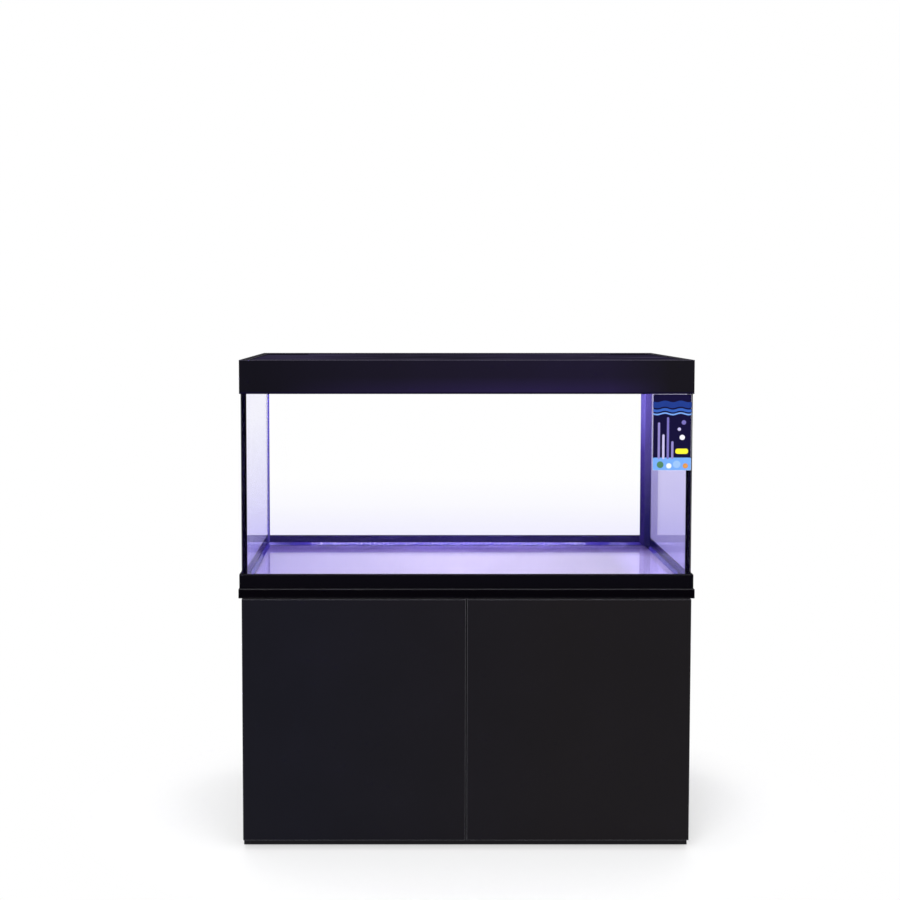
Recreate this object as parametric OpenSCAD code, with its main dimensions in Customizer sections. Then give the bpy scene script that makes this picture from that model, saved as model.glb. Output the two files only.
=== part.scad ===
// Glass aquarium with a lift-lid hood, on a cabinet with two doors.
// X runs along the width, Y from front to back, Z up.
// The origin is on the floor, under the middle of the cabinet top.

/* [Glass tank] */
// Outside length of the glass
glass_w = 1200; // [1000:10:1400]
// Outside depth of the glass
glass_d = 400; // [360:5:480]
// Height of the standing panes
glass_h = 531; // [400:1:620]
// Thickness of the standing panes
pane_t = 10; // [8:0.5:12]
// Thickness of the bottom pane
bottom_t = 8; // [6:0.5:12]
// Thickness of the silicone joints between the panes
joint_t = 1; // [0.5:0.25:2]
// Leg of the silicone beads in the corners
seam_leg = 4; // [3:0.5:8]
// Gap between the seams where they meet in a corner
seam_gap = 0.05; // [0.02:0.01:0.1]
// Width of the glass brace strips under the hood
brace_w = 45; // [30:1:60]
// Thickness of the brace strips
brace_t = 6; // [5:0.5:8]
// Thickness of the levelling mat and of the trim's foot
mat_t = 3; // [2:0.5:6]

/* [Base trim] */
// Height of the trim round the foot of the glass
trim_h = 38; // [25:1:60]
// Wall of the trim
trim_wall = 5.5; // [3:0.5:8]
// Silicone gap between trim and glass
trim_gap = 0.5; // [0.3:0.1:1]
// Reach of the trim's foot under the glass
trim_foot = 14; // [11:1:20]
// Chamfer along the trim's top edge
trim_chamfer = 1.5; // [0.5:0.5:2.5]

/* [Cable channel] */
// Width of the channel along the rear pane
channel_w = 16; // [12:1:24]
// Depth of the channel off the rear pane
channel_d = 8; // [6:1:12]
// Wall of the channel
channel_wall = 1.5; // [1:0.25:2]

/* [Hood] */
// Height of the hood's walls
hood_h = 90; // [80:1:130]
// Overhang of the hood past the glass, on each side
hood_over = 4; // [3:0.5:8]
// Wall of the hood
hood_wall = 3; // [2:0.25:3.5]
// How far the hood hangs down past the top of the glass
hood_drop = 14; // [8:1:25]
// Width of the ledge that sits on the glass
seat_w = 24; // [15:1:40]
// Width of the rim round the hood's top
rim_w = 22; // [16:1:40]
// Thickness of the hood's rim, lips and ledges
rim_t = 3; // [2:0.25:4]
// How far the lid and the deck lie below the rim
lid_sink = 2; // [1:0.25:4]
// Thickness of the lid and the deck
lid_t = 3; // [2.5:0.25:4]
// Reach of the ledge that the lid and the deck rest on
lid_ledge = 8; // [5:0.5:14]
// Gap between the lid's edges and the rim
lid_gap = 1.5; // [1:0.25:3]
// Gap under the resting lid
lid_rest_gap = 0.3; // [0.2:0.05:0.4]
// Width of the lip between the rim and the lid's ledge
lip_w = 2.5; // [2:0.25:4]
// Corner radius of the hood
hood_corner_r = 4; // [2:0.5:8]
// Number of gussets along each long wall of the hood
long_gussets = 7; // [3:1:11]
// Thickness of the gussets
gusset_t = 2.5; // [2:0.25:4]
// Width of the lid's finger notch
notch_w = 82; // [60:1:120]
// Depth of the finger notch
notch_d = 24; // [16:1:36]
// Corner radius of the finger notch
notch_r = 6; // [3:0.5:9]
// Length of the deck's corner cut-outs
hose_cut_w = 120; // [80:1:180]
// Depth of the deck's corner cut-outs
hose_cut_d = 52; // [30:1:80]

/* [Lid hinges] */
// Distance of the lid hinges from the middle
lid_hinge_x = 400; // [200:5:450]
// Length of one hinge across its three knuckles
lid_hinge_w = 60; // [45:1:90]
// Outside radius of the knuckles
lid_knuckle_r = 3.5; // [3:0.25:4]
// Radius of the hinge pins
lid_pin_r = 1.5; // [1:0.25:2]
// Running clearance round the pins
pin_clear = 0.06; // [0.02:0.01:0.09]
// Gap between neighbouring knuckles, and round them
knuckle_gap = 0.5; // [0.3:0.1:1]
// Distance of the lid's rear edge in front of the hinge line
lid_edge = 1; // [0.5:0.25:3]

/* [Lamp] */
// Length of the lamp bar between its end caps
lamp_l = 1050; // [800:10:1100]
// Width of the lamp bar
lamp_w = 44; // [36:1:60]
// Height of the lamp bar
lamp_h = 16; // [12:1:22]
// Wall of the lamp's extrusion
lamp_wall = 1.5; // [1.2:0.1:2.5]
// Distance of the lamp's middle line behind the lid hinge
lamp_back = 38; // [34:1:70]
// Gap between the lamp and the deck above it
lamp_drop = 6; // [4:1:12]
// Height of the cooling fins on top of the lamp
fin_h = 2; // [1:0.5:4]
// Number of cooling fins
fins = 7; // [3:1:9]
// Thickness of the lens
lens_t = 2; // [1.5:0.25:3]
// How far the lens lies above the lamp's lower edge
lens_up = 1; // [0.8:0.1:2]
// Depth of the grooves that hold the lens
groove = 0.8; // [0.4:0.1:1]
// Thickness of the board that carries the diodes
board_thick = 1.6; // [1:0.1:2]
// Gap between that board and the lamp's sides
board_side = 2; // [1:0.5:4]
// Gap between that board and each end cap
board_end = 1; // [0.5:0.5:4]
// Outside radius of the gland for the lamp's lead
gland_r = 5; // [4:0.5:6]
// Bore radius of the gland
gland_bore = 3; // [2:0.25:3.5]
// Length of the gland
gland_l = 9; // [6:1:14]
// Thickness of the lamp's end caps
cap_t = 4; // [3:0.5:8]
// Distance of the lamp brackets from the middle
bracket_x = 340; // [150:5:365]
// Length of one bracket
bracket_l = 24; // [15:1:40]
// Wall of the brackets
bracket_t = 2; // [1.5:0.25:3]

/* [Cabinet] */
// Height of the cabinet, floor to the top face
cabinet_h = 710; // [600:5:800]
// Thickness of the cabinet top
top_t = 25; // [18:1:40]
// How far the top runs past the trim at each end
top_end_lip = 1; // [0:0.5:6]
// How far the top runs past the trim at front and back
top_front_lip = 6; // [2:0.5:12]
// Thickness of the sides, divider, shelf and doors
board_t = 16; // [15:0.5:19]
// Thickness of the floor board
floor_t = 18; // [16:1:25]
// Height of the glides under the cabinet
glide_h = 4; // [3:0.5:12]
// Radius of the glides
glide_r = 12; // [8:1:20]
// Arris taken off the edges of the doors and the top
arris = 0.8; // [0.4:0.1:1.5]
// How far the back stays in front of the top's rear edge
back_inset = 4; // [0:1:20]
// Height of the shelf's top face
shelf_z = 363; // [300:1:420]
// How far the shelf's front edge stands back
shelf_inset = 5; // [2:1:60]
// Fitting gap round the shelf
shelf_gap = 0.5; // [0.3:0.1:1.5]

/* [Hose cut-outs in the back] */
// Width of each cut-out
back_cut_w = 250; // [150:5:320]
// Height of the lower cut-outs above the floor board
back_cut_low_h = 118; // [80:1:180]
// Height of the upper cut-outs
back_cut_high_h = 230; // [120:5:260]
// Gap between the shelf's top and the upper cut-outs
back_cut_high_gap = 7; // [0:1:40]
// Distance of the cut-outs' middle from the cabinet's middle
back_cut_x = 315; // [220:5:350]

/* [Doors] */
// Gap between the doors and the carcass behind them
door_gap = 3; // [3:0.5:5]
// How far the door fronts stand behind the top's front edge
door_inset = 1; // [0:0.5:5]
// Gap between the doors and the cabinet top
door_top_gap = 3; // [2:0.5:5]
// Height of the doors' lower edge above the floor
door_foot = 27; // [10:1:60]
// Gap between the two doors
door_middle_gap = 3.5; // [2.5:0.5:6]
// How far the doors' outer edges stand in from the cabinet's ends
door_side_inset = 1; // [0.5:0.5:4]

/* [Door hinges] */
// Distance of the hinges from the door's top and bottom
hinge_inset = 110; // [80:5:160]
// Distance of the hinge pin from the door's outer edge
hinge_pin_in = 7; // [7:0.5:8]
// Depth of the hinge pin below the door's inner face
hinge_pin_deep = 9; // [8.5:0.25:9]
// Radius of the cup bored into the door
cup_r = 17.5; // [17.5:0.25:18]
// Distance of the cup's edge from the door's outer edge
cup_edge = 5; // [4:0.5:6]
// Depth of the cup
cup_deep = 13; // [12.5:0.1:13.4]
// Sheet thickness of the cup
cup_wall = 0.8; // [0.6:0.1:1]
// Fitting gap between the cup and its bore
cup_fit = 0.2; // [0.1:0.05:0.3]
// Half width of the cup's side slot
slot_half = 9; // [8.5:0.25:10]
// Radius of the door hinge pins
hinge_pin_r = 1.3; // [1:0.1:1.5]
// Outside radius of the arm's eye round the pin
hinge_eye_r = 2.6; // [2.2:0.1:2.8]
// Half width of the hinge arm
arm_half = 6.2; // [5:0.1:6.5]
// Sheet thickness of the arm
arm_sheet = 1.2; // [1:0.1:1.5]
// How far the arm stands off the side panel at its top face
arm_stand = 12; // [10:0.5:14]
// Length of the arm behind the carcass front
arm_l = 58; // [50:1:75]
// Thickness of the mounting plate
plate_t = 2; // [1.8:0.1:2.2]
// Length of the mounting plate
plate_l = 36; // [30:1:38]
// Width of the mounting plate's screw arms
plate_w = 12; // [10:1:14]
// Distance of the plate's screws from the arm's middle line
plate_half = 22; // [16:1:28]
// How far the plate stands behind the carcass front
plate_back = 18; // [10:1:20]

/* [Push latches] */
// Height of the latches below the doors' upper edge
latch_below = 82; // [50:1:120]
// Length of the latch body
latch_l = 68; // [60:1:90]
// Height of the latch body
latch_h = 13; // [12:0.5:16]
// Distance of the plunger's middle line from the divider
latch_out = 7.5; // [7:0.25:10]
// Radius of the plunger
plunger_r = 4.5; // [3.5:0.25:4.75]
// Length of the plunger
plunger_l = 50; // [40:1:52]
// Clearance round the plunger
plunger_clear = 0.1; // [0.05:0.01:0.3]
// Thickness of the strike plate on the door
strike_t = 1; // [0.5:0.1:1.4]
// Radius of the strike plate
strike_r = 7; // [5:0.5:8]
// Gap between the resting plunger and the strike plate
strike_gap = 0.3; // [0.2:0.05:0.4]

/* [Cabinet fittings] */
// Radius of the dowels
dowel_r = 4; // [3:0.5:4]
// Length of the dowels
dowel_l = 30; // [24:1:34]
// Gap round the dowels and fittings in their holes
dowel_fit = 0.1; // [0.05:0.05:0.2]
// Distance of the dowels from the boards' middle line
dowel_y = 150; // [120:5:160]
// Radius of the cam locks
cam_r = 7.5; // [6:0.5:7.5]
// Depth of the cam locks
cam_deep = 12.5; // [10:0.5:13]
// Distance of the cam locks from the boards' middle line
cam_y = 100; // [60:5:110]
// Distance of the cam locks from the board edge that they pull on
cam_back = 24; // [18:1:34]
// Radius of the cam bolts
cam_bolt_r = 3; // [2.5:0.25:3.5]
// Radius of the shelf pins
shelf_pin_r = 2.5; // [2:0.25:3]
// How far the shelf pins reach out of the board
shelf_pin_out = 8; // [6:0.5:12]
// How deep the shelf pins sit in the board
shelf_pin_in = 8; // [6:0.5:12]
// Distance of the shelf pins from the shelf's middle line
shelf_pin_y = 140; // [80:5:160]

/* [Hidden] */
$fn = 48;
// Overshoot of cuts, so that no face is left behind
cut = 1;

// Heights, from the floor up
board_foot = glide_h;
floor_top = board_foot + floor_t;
top_under = cabinet_h - top_t;
glass_foot = cabinet_h + mat_t;
bottom_top = glass_foot + bottom_t;
glass_top = glass_foot + glass_h;
hood_foot = glass_top - hood_drop;
hood_top = hood_foot + hood_h;
ledge_top = hood_top - lid_sink - lid_t;
lid_hinge_z = hood_top - lid_knuckle_r;

// Plan sizes of the tank and the hood
inner_w = glass_w - 2 * pane_t;
inner_d = glass_d - 2 * pane_t;
trim_w = glass_w + 2 * (trim_gap + trim_wall);
trim_d = glass_d + 2 * (trim_gap + trim_wall);
hood_w = glass_w + 2 * hood_over;
hood_d = glass_d + 2 * hood_over;
hood_in_w = hood_w - 2 * hood_wall;
hood_in_d = hood_d - 2 * hood_wall;
rim_in = rim_w - hood_wall;
well_w = hood_w - 2 * rim_w;
well_d = hood_d - 2 * rim_w;
lid_foot = ledge_top + lid_rest_gap;
lid_hinge_rise = max(lid_foot + lid_t - lid_hinge_z, lid_hinge_z - lid_foot);
// The deck's front edge stays clear of the lid's rear corner as that swings up
deck_edge = norm([lid_edge, lid_hinge_rise]) + knuckle_gap;
knuckle_room = lid_knuckle_r + knuckle_gap;
knuckle_pitch = (lid_hinge_w + knuckle_gap) / 3;
knuckle_l = knuckle_pitch - knuckle_gap;

// Plan sizes of the cabinet
carcass_w = glass_w;
top_w = trim_w + 2 * top_end_lip;
top_d = trim_d + 2 * top_front_lip;
door_front = -top_d / 2 + door_inset;
door_back = door_front + board_t;
carcass_front = door_back + door_gap;
carcass_back = top_d / 2 - back_inset;
carcass_d = carcass_back - carcass_front;
carcass_mid = (carcass_front + carcass_back) / 2;
back_front = carcass_back - board_t;
side_inner = carcass_w / 2 - board_t;
divider_half = board_t / 2;
bay_w = side_inner - divider_half;
shelf_w = bay_w - 2 * shelf_gap;
shelf_front = carcass_front + shelf_inset;
shelf_d = back_front - shelf_gap - shelf_front;

// Doors, hinges and latches
door_top = top_under - door_top_gap;
door_h = door_top - door_foot;
door_outer = carcass_w / 2 - door_side_inset;
door_w = door_outer - door_middle_gap / 2;
hinge_x = door_outer - hinge_pin_in;
hinge_y = door_back - hinge_pin_deep;
hinge_heights = [door_foot + hinge_inset, door_top - hinge_inset];
cup_in = cup_edge + cup_r;
cup_bottom = hinge_pin_deep - cup_deep;
slot_edge = 2;
// Seat of the pins in the pieces that hold them
pin_seat = 0.02;
latch_z = door_top - latch_below;
latch_x = divider_half + latch_out;
latch_front = carcass_front + 0.5;
plunger_tip = door_back + strike_t + strike_gap;
plunger_bore = plunger_r + plunger_clear;
latch_bore_end = latch_front + latch_l - 4;

// How far the cam bolts reach into the cabinet top
top_grip = 12;
// Fixing places along the boards
dowel_places = [carcass_mid - dowel_y, carcass_mid + dowel_y];
cam_places = [carcass_mid - cam_y, carcass_mid + cam_y];

// Colours
black_gloss = "#17161c";
black_plain = "#0f0e12";
clear_glass = [0.75, 0.85, 0.9, 0.3];
bright_steel = "#b9bcc2";
white_plastic = "#eceae4";

// ---- Shared shapes ----

// A block that stands on z, centred in plan on x and y
module block(w, d, h, x = 0, y = 0, z = 0) {
    translate([x - w / 2, y - d / 2, z]) cube([w, d, h]);
}

// A square with its four corners cut off
module cut_square(w, h, c) {
    polygon([
        [c, 0], [w - c, 0], [w, c], [w, h - c],
        [w - c, h], [c, h], [0, h - c], [0, c]
    ]);
}

// A board in the XZ plane, its front and back edges all round relieved by an arris
module upright_board(w, d, h) {
    intersection() {
        linear_extrude(h) cut_square(w, d, arris);
        rotate([90, 0, 90]) linear_extrude(w) cut_square(d, h, arris);
    }
}

// A lying board, its top and bottom edges all round relieved by an arris
module lying_board(w, d, h) {
    intersection() {
        translate([0, d, 0]) rotate([90, 0, 0]) linear_extrude(d) cut_square(w, h, arris);
        rotate([90, 0, 90]) linear_extrude(w) cut_square(d, h, arris);
    }
}

// A rounded rectangle, centred
module round_rect(w, d, r) {
    square([w - 2 * r, d], center = true);
    square([w, d - 2 * r], center = true);
    for (x = [-1, 1], y = [-1, 1]) translate([x * (w / 2 - r), y * (d / 2 - r)]) circle(r);
}

// A rectangular frame that stands on z, centred in plan
module ring(w, d, h, wall, z = 0, r = 0) {
    translate([0, 0, z]) linear_extrude(h) difference() {
        if (r > 0) round_rect(w, d, r); else square([w, d], center = true);
        square([w - 2 * wall, d - 2 * wall], center = true);
    }
}

// Copies the children to the other side of the YZ plane
module both_sides() {
    children();
    mirror([1, 0, 0]) children();
}

// ---- Glass tank ----

module bottom_glass() {
    color(clear_glass) block(inner_w - 2 * joint_t, inner_d - 2 * joint_t, bottom_t, z = glass_foot);
}

module long_pane(side) {
    color(clear_glass) block(glass_w, pane_t, glass_h, y = side * (glass_d - pane_t) / 2, z = glass_foot);
}

module end_pane(side) {
    color(clear_glass)
        block(pane_t, inner_d - 2 * joint_t, glass_h, x = side * (glass_w - pane_t) / 2, z = glass_foot);
}

module front_glass() { long_pane(-1); }
module rear_glass() { long_pane(1); }
module left_glass() { end_pane(-1); }
module right_glass() { end_pane(1); }

// A bead of silicone along +Z from the origin, in the corner of the planes x = 0 and y = 0
module bead(length) {
    linear_extrude(length) difference() {
        square(seam_leg);
        translate([seam_leg, seam_leg]) circle(seam_leg * 0.9, $fn = 24);
    }
}

// An upright seam: the joint layer in front of the end pane's edge, and the bead inside the corner
module upright_seam() {
    translate([-pane_t, 0, 0]) cube([pane_t, joint_t, glass_h]);
    translate([0, 0, bottom_t]) bead(glass_h - bottom_t - brace_t);
}

// A seam along the bottom pane: the joint layer beside its edge, and the bead on top
module bottom_seam(length) {
    translate([0, -bottom_t, 0]) cube([joint_t, bottom_t + seam_leg / 2, length]);
    bead(length);
}

// Four upright seams and four along the bottom pane, which end just short of the upright ones
module silicone_seams() {
    run_start = seam_leg + seam_gap;
    color("#0c0b10")
        for (x = [0, 1], y = [0, 1])
            mirror([x, 0, 0]) mirror([0, y, 0]) translate([-inner_w / 2, -inner_d / 2, 0]) {
            translate([0, 0, glass_foot]) upright_seam();
            if (x == 0) translate([run_start, 0, bottom_top]) rotate([90, 0, 90])
                bottom_seam(inner_w - 2 * run_start);
            if (y == 0) translate([0, inner_d - run_start, bottom_top]) rotate([90, 0, 0])
                bottom_seam(inner_d - 2 * run_start);
        }
}

module brace(side) {
    color(clear_glass)
        block(inner_w, brace_w, brace_t, y = side * (inner_d - brace_w) / 2, z = glass_top - brace_t);
}

module front_brace() { brace(-1); }
module rear_brace() { brace(1); }

// L-section frame: an upright wall with a chamfered top edge, and a foot under the panes
module base_trim() {
    color(black_plain) translate([0, 0, cabinet_h]) difference() {
        union() {
            linear_extrude(trim_h - trim_chamfer) round_rect(trim_w, trim_d, 3);
            translate([0, 0, trim_h - trim_chamfer]) hull() {
                linear_extrude(0.01) round_rect(trim_w, trim_d, 3, $fn = 32);
                translate([0, 0, trim_chamfer - 0.01])
                    linear_extrude(0.01)
                        round_rect(trim_w - 2 * trim_chamfer, trim_d - 2 * trim_chamfer, 2, $fn = 32);
            }
        }
        block(glass_w + 2 * trim_gap, glass_d + 2 * trim_gap, trim_h, z = mat_t);
        block(glass_w - 2 * trim_foot, glass_d - 2 * trim_foot, trim_h, z = -cut);
    }
}

module foam_mat() {
    mat_gap = 0.5;
    color("#3b3b40")
        block(glass_w - 2 * (trim_foot + mat_gap), glass_d - 2 * (trim_foot + mat_gap), mat_t,
            z = cabinet_h);
}

// U-section channel in the rear right corner, open towards the side pane's seam
module cable_channel() {
    channel_foot = bottom_top + seam_leg;
    channel_h = glass_top - brace_t - channel_foot;
    channel_x = inner_w / 2 - seam_leg - channel_w;
    color(black_plain) translate([channel_x, inner_d / 2 - channel_d, channel_foot]) difference() {
        cube([channel_w, channel_d, channel_h]);
        translate([channel_wall, channel_wall, -cut])
            cube([channel_w - 2 * channel_wall, channel_d - 2 * channel_wall, channel_h + 2 * cut]);
    }
}

// ---- Hood ----

// The four outer walls of the hood, as one shell
module hood_frame() {
    color(black_gloss) difference() {
        translate([0, 0, hood_foot]) linear_extrude(hood_h) round_rect(hood_w, hood_d, hood_corner_r);
        block(hood_in_w, hood_in_d, hood_h + 2 * cut, z = hood_foot - cut);
    }
}

// Inside the walls: a rim flush with their top, a lip down from it, and the ledge for the lid
module lid_frame() {
    color(black_gloss) {
        ring(hood_in_w, hood_in_d, rim_t, rim_in, hood_top - rim_t);
        ring(well_w + 2 * lip_w, well_d + 2 * lip_w, rim_t + lid_sink + lid_t, lip_w, ledge_top - rim_t);
        ring(well_w, well_d, rim_t, lid_ledge, ledge_top - rim_t);
    }
}

// The flat ledge inside the walls that sits on the glass
module hood_seat() {
    color(black_gloss) ring(hood_in_w, hood_in_d, rim_t, seat_w - hood_wall, glass_top);
}

// Upright gussets between the seat and the rim, against the walls
module hood_gussets() {
    gusset_foot = glass_top + rim_t;
    gusset_h = hood_top - rim_t - gusset_foot;
    gusset_deep = rim_in - lip_w;
    pitch = hood_w / (long_gussets + 1);
    color(black_gloss) {
        for (side = [-1, 1], i = [1 : long_gussets])
            block(gusset_t, gusset_deep, gusset_h,
                x = -hood_w / 2 + i * pitch, y = side * (hood_in_d - gusset_deep) / 2, z = gusset_foot);
        for (side = [-1, 1], y = [-hood_d / 6, hood_d / 6])
            block(gusset_deep, gusset_t, gusset_h,
                x = side * (hood_in_w - gusset_deep) / 2, y = y, z = gusset_foot);
    }
}

// A knuckle of a lid hinge at x, bored for its pin
module lid_knuckle(x, bore) {
    translate([x - knuckle_l / 2, 0, lid_hinge_z]) rotate([0, 90, 0]) difference() {
        cylinder(r = lid_knuckle_r, h = knuckle_l);
        translate([0, 0, -cut]) cylinder(r = bore, h = knuckle_l + 2 * cut);
    }
}

// Middles of the lid's own knuckles, and of the deck's
lid_knuckles = [-lid_hinge_x, lid_hinge_x];
deck_knuckles = [for (x = lid_knuckles, side = [-1, 1]) x + side * knuckle_pitch];

// Clearance in a plate round the knuckles of the other plate, and round this plate's own pins
module knuckle_clearance(places, own, foot) {
    for (x = places)
        block(knuckle_l + 2 * knuckle_gap, 2 * knuckle_room, lid_t + 2 * cut, x = x, z = foot - cut);
    for (x = own)
        block(knuckle_l, 2 * lid_pin_r, lid_t + 2 * cut, x = x, z = foot - cut);
}

// Fixed rear half of the top, with a cut-out in each rear corner for hoses and leads
module rear_deck() {
    deck_w = well_w - 2 * lid_gap;
    deck_back = well_d / 2 - lid_gap;
    color(black_gloss) {
        difference() {
            union() {
                translate([-deck_w / 2, deck_edge, ledge_top]) cube([deck_w, deck_back - deck_edge, lid_t]);
                for (x = deck_knuckles)
                    block(knuckle_l, 2 * deck_edge, lid_t, x = x, y = deck_edge, z = ledge_top);
            }
            knuckle_clearance(lid_knuckles, deck_knuckles, ledge_top);
            both_sides()
                translate([deck_w / 2 - hose_cut_w, deck_back - hose_cut_d, ledge_top - cut])
                    cube([hose_cut_w + cut, hose_cut_d + cut, lid_t + 2 * cut]);
        }
        for (x = deck_knuckles) lid_knuckle(x, lid_pin_r + pin_seat);
    }
}

// Front half of the top: a flap with a rounded finger notch in its front edge
module front_lid() {
    lid_w = well_w - 2 * lid_gap;
    lid_front = -well_d / 2 + lid_gap;
    color(black_gloss) {
        difference() {
            translate([-lid_w / 2, lid_front, lid_foot]) cube([lid_w, -lid_edge - lid_front, lid_t]);
            knuckle_clearance(deck_knuckles, lid_knuckles, lid_foot);
            translate([0, lid_front, lid_foot - cut]) linear_extrude(lid_t + 2 * cut)
                round_rect(notch_w, 2 * notch_d, notch_r);
        }
        for (x = lid_knuckles) lid_knuckle(x, lid_pin_r + pin_clear);
    }
}

module lid_hinge_pins() {
    color(bright_steel)
        for (x = [-lid_hinge_x, lid_hinge_x])
            translate([x - lid_hinge_w / 2, 0, lid_hinge_z]) rotate([0, 90, 0])
                cylinder(r = lid_pin_r, h = lid_hinge_w);
}

// ---- Lamp ----

lamp_top = ledge_top - lamp_drop;
lamp_foot = lamp_top - lamp_h;
lens_gap = 0.2;
lamp_in = lamp_w - 2 * lamp_wall;

// The lamp's hollow section in the XZ plane, open below, with fins on top and grooves for the lens
module lamp_section() {
    difference() {
        union() {
            translate([-lamp_w / 2, 0]) square([lamp_w, lamp_h - fin_h]);
            for (i = [0 : fins - 1])
                translate([-lamp_w / 2 + i * (lamp_w - lamp_wall) / (fins - 1), 0])
                    square([lamp_wall, lamp_h]);
        }
        translate([-lamp_w / 2 + lamp_wall, -cut])
            square([lamp_in, lamp_h - fin_h - lamp_wall + cut]);
        translate([-lamp_w / 2 + lamp_wall - groove, lens_up])
            square([lamp_in + 2 * groove, lens_t + 2 * lens_gap]);
    }
}

module light_housing() {
    color("#2b2c31") translate([-lamp_l / 2, lamp_back, lamp_foot]) rotate([90, 0, 90])
        linear_extrude(lamp_l) lamp_section();
}

module light_lens() {
    lens_w = lamp_in + 2 * (groove - lens_gap);
    color([0.95, 0.95, 1, 0.6])
        block(lamp_l, lens_w, lens_t, y = lamp_back, z = lamp_foot + lens_up + lens_gap);
}

module light_board() {
    board_z = lamp_top - fin_h - lamp_wall - board_thick;
    color("#f4f4f0")
        block(lamp_l - 2 * board_end, lamp_in - 2 * board_side, board_thick, y = lamp_back, z = board_z);
}

// Plain left cap, and a right cap with the gland for the lamp's lead
module light_end_caps() {
    color(black_plain) {
        block(cap_t, lamp_w, lamp_h, x = -(lamp_l + cap_t) / 2, y = lamp_back, z = lamp_foot);
        difference() {
            union() {
                block(cap_t, lamp_w, lamp_h, x = (lamp_l + cap_t) / 2, y = lamp_back, z = lamp_foot);
                translate([lamp_l / 2 + cap_t, lamp_back, lamp_foot + lamp_h / 2]) rotate([0, 90, 0])
                    cylinder(r = gland_r, h = gland_l);
            }
            translate([lamp_l / 2 + cap_t, lamp_back, lamp_foot + lamp_h / 2]) rotate([0, 90, 0])
                cylinder(r = gland_bore, h = gland_l + cut);
        }
    }
}

// C-section clips that hang the lamp from the deck
module light_brackets() {
    clip_gap = 0.2;
    clip_w = lamp_w + 2 * (bracket_t + clip_gap);
    clip_foot = lamp_foot - clip_gap - bracket_t;
    hook = 2;
    color("#2b2c31")
        for (x = [-bracket_x, bracket_x])
            difference() {
                block(bracket_l, clip_w, ledge_top - clip_foot, x = x, y = lamp_back, z = clip_foot);
                block(bracket_l + 2 * cut, lamp_w + 2 * clip_gap, lamp_h + 2 * clip_gap,
                    x = x, y = lamp_back, z = lamp_foot - clip_gap);
                block(bracket_l + 2 * cut, lamp_w - 2 * hook, bracket_t + 2 * cut,
                    x = x, y = lamp_back, z = clip_foot - cut);
                block(bracket_l + 2 * cut, lamp_w, lamp_drop - 2 * bracket_t,
                    x = x, y = lamp_back, z = lamp_top + bracket_t);
            }
}

// ---- Cabinet ----

// A dowel hole through the joint plane at z, upright
module dowel_hole(x, y, z) {
    translate([x, y, z - dowel_l / 2 - dowel_fit])
        cylinder(r = dowel_r + dowel_fit, h = dowel_l + 2 * dowel_fit, $fn = 24);
}

module cabinet_top() {
    color(black_plain) difference() {
        translate([-top_w / 2, -top_d / 2, top_under]) lying_board(top_w, top_d, top_t);
        for (x = [-1, 0, 1], y = dowel_places) dowel_hole(x * (carcass_w - board_t) / 2, y, top_under);
        for (x = [-1, 0, 1], y = cam_places) cam_bolt(x, y, dowel_fit);
    }
}

// Everything cut into an upright board of the carcass: dowels and cams at its top edge
module upright_holes(x, face) {
    for (y = dowel_places) dowel_hole(x * (carcass_w - board_t) / 2, y, top_under);
    for (y = cam_places) {
        cam_lock(x, y, face, dowel_fit);
        cam_bolt(x, y, dowel_fit);
    }
}

// A cam lock let into the inner face of an upright; fit widens it into its pocket
module cam_lock(x, y, face, fit = 0) {
    board_x = x * (carcass_w - board_t) / 2;
    translate([board_x + face * (board_t / 2 + (fit > 0 ? cut : 0)), y, top_under - cam_back])
        rotate([0, -face * 90, 0])
            cylinder(r = cam_r + fit, h = cam_deep + fit + (fit > 0 ? cut : 0), $fn = 32);
}

// The bolt from the cabinet top down to its cam lock
module cam_bolt(x, y, fit = 0) {
    bolt_l = cam_back - cam_r + top_grip;
    translate([x * (carcass_w - board_t) / 2, y, top_under - cam_back + cam_r + (fit > 0 ? 0 : 0.2)])
        cylinder(r = cam_bolt_r + fit, h = bolt_l + fit - (fit > 0 ? 0 : 0.2), $fn = 24);
}

// Side panel of the carcass on the left, in its own place
module side_panel() {
    side_h = top_under - board_foot;
    difference() {
        translate([-carcass_w / 2, carcass_front, board_foot]) cube([board_t, carcass_d, side_h]);
        upright_holes(-1, 1);
        for (y = dowel_places) floor_dowel(y, dowel_fit);
    }
}

// A lying dowel between the left side panel and the floor board
module floor_dowel(y, fit = 0) {
    side_grip = board_t - 4;
    translate([-side_inner - side_grip - fit, y, board_foot + floor_t / 2]) rotate([0, 90, 0])
        cylinder(r = dowel_r + fit, h = dowel_l + 2 * fit, $fn = 24);
}

module left_side() { color(black_gloss) side_panel(); }

module right_side() {
    color(black_gloss) difference() {
        mirror([1, 0, 0]) side_panel();
        shelf_pin_set(1, dowel_fit);
    }
}

module divider() {
    color(black_gloss) difference() {
        block(board_t, carcass_d, top_under - floor_top, y = carcass_mid, z = floor_top);
        upright_holes(0, -1);
        for (y = dowel_places) dowel_hole(0, y, floor_top);
        shelf_pin_set(-1, dowel_fit);
    }
}

module floor_board() {
    color(black_gloss) difference() {
        block(2 * side_inner, carcass_d, floor_t, y = carcass_mid, z = board_foot);
        both_sides() for (y = dowel_places) floor_dowel(y, dowel_fit);
        for (y = dowel_places) dowel_hole(0, y, floor_top);
    }
}

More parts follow.
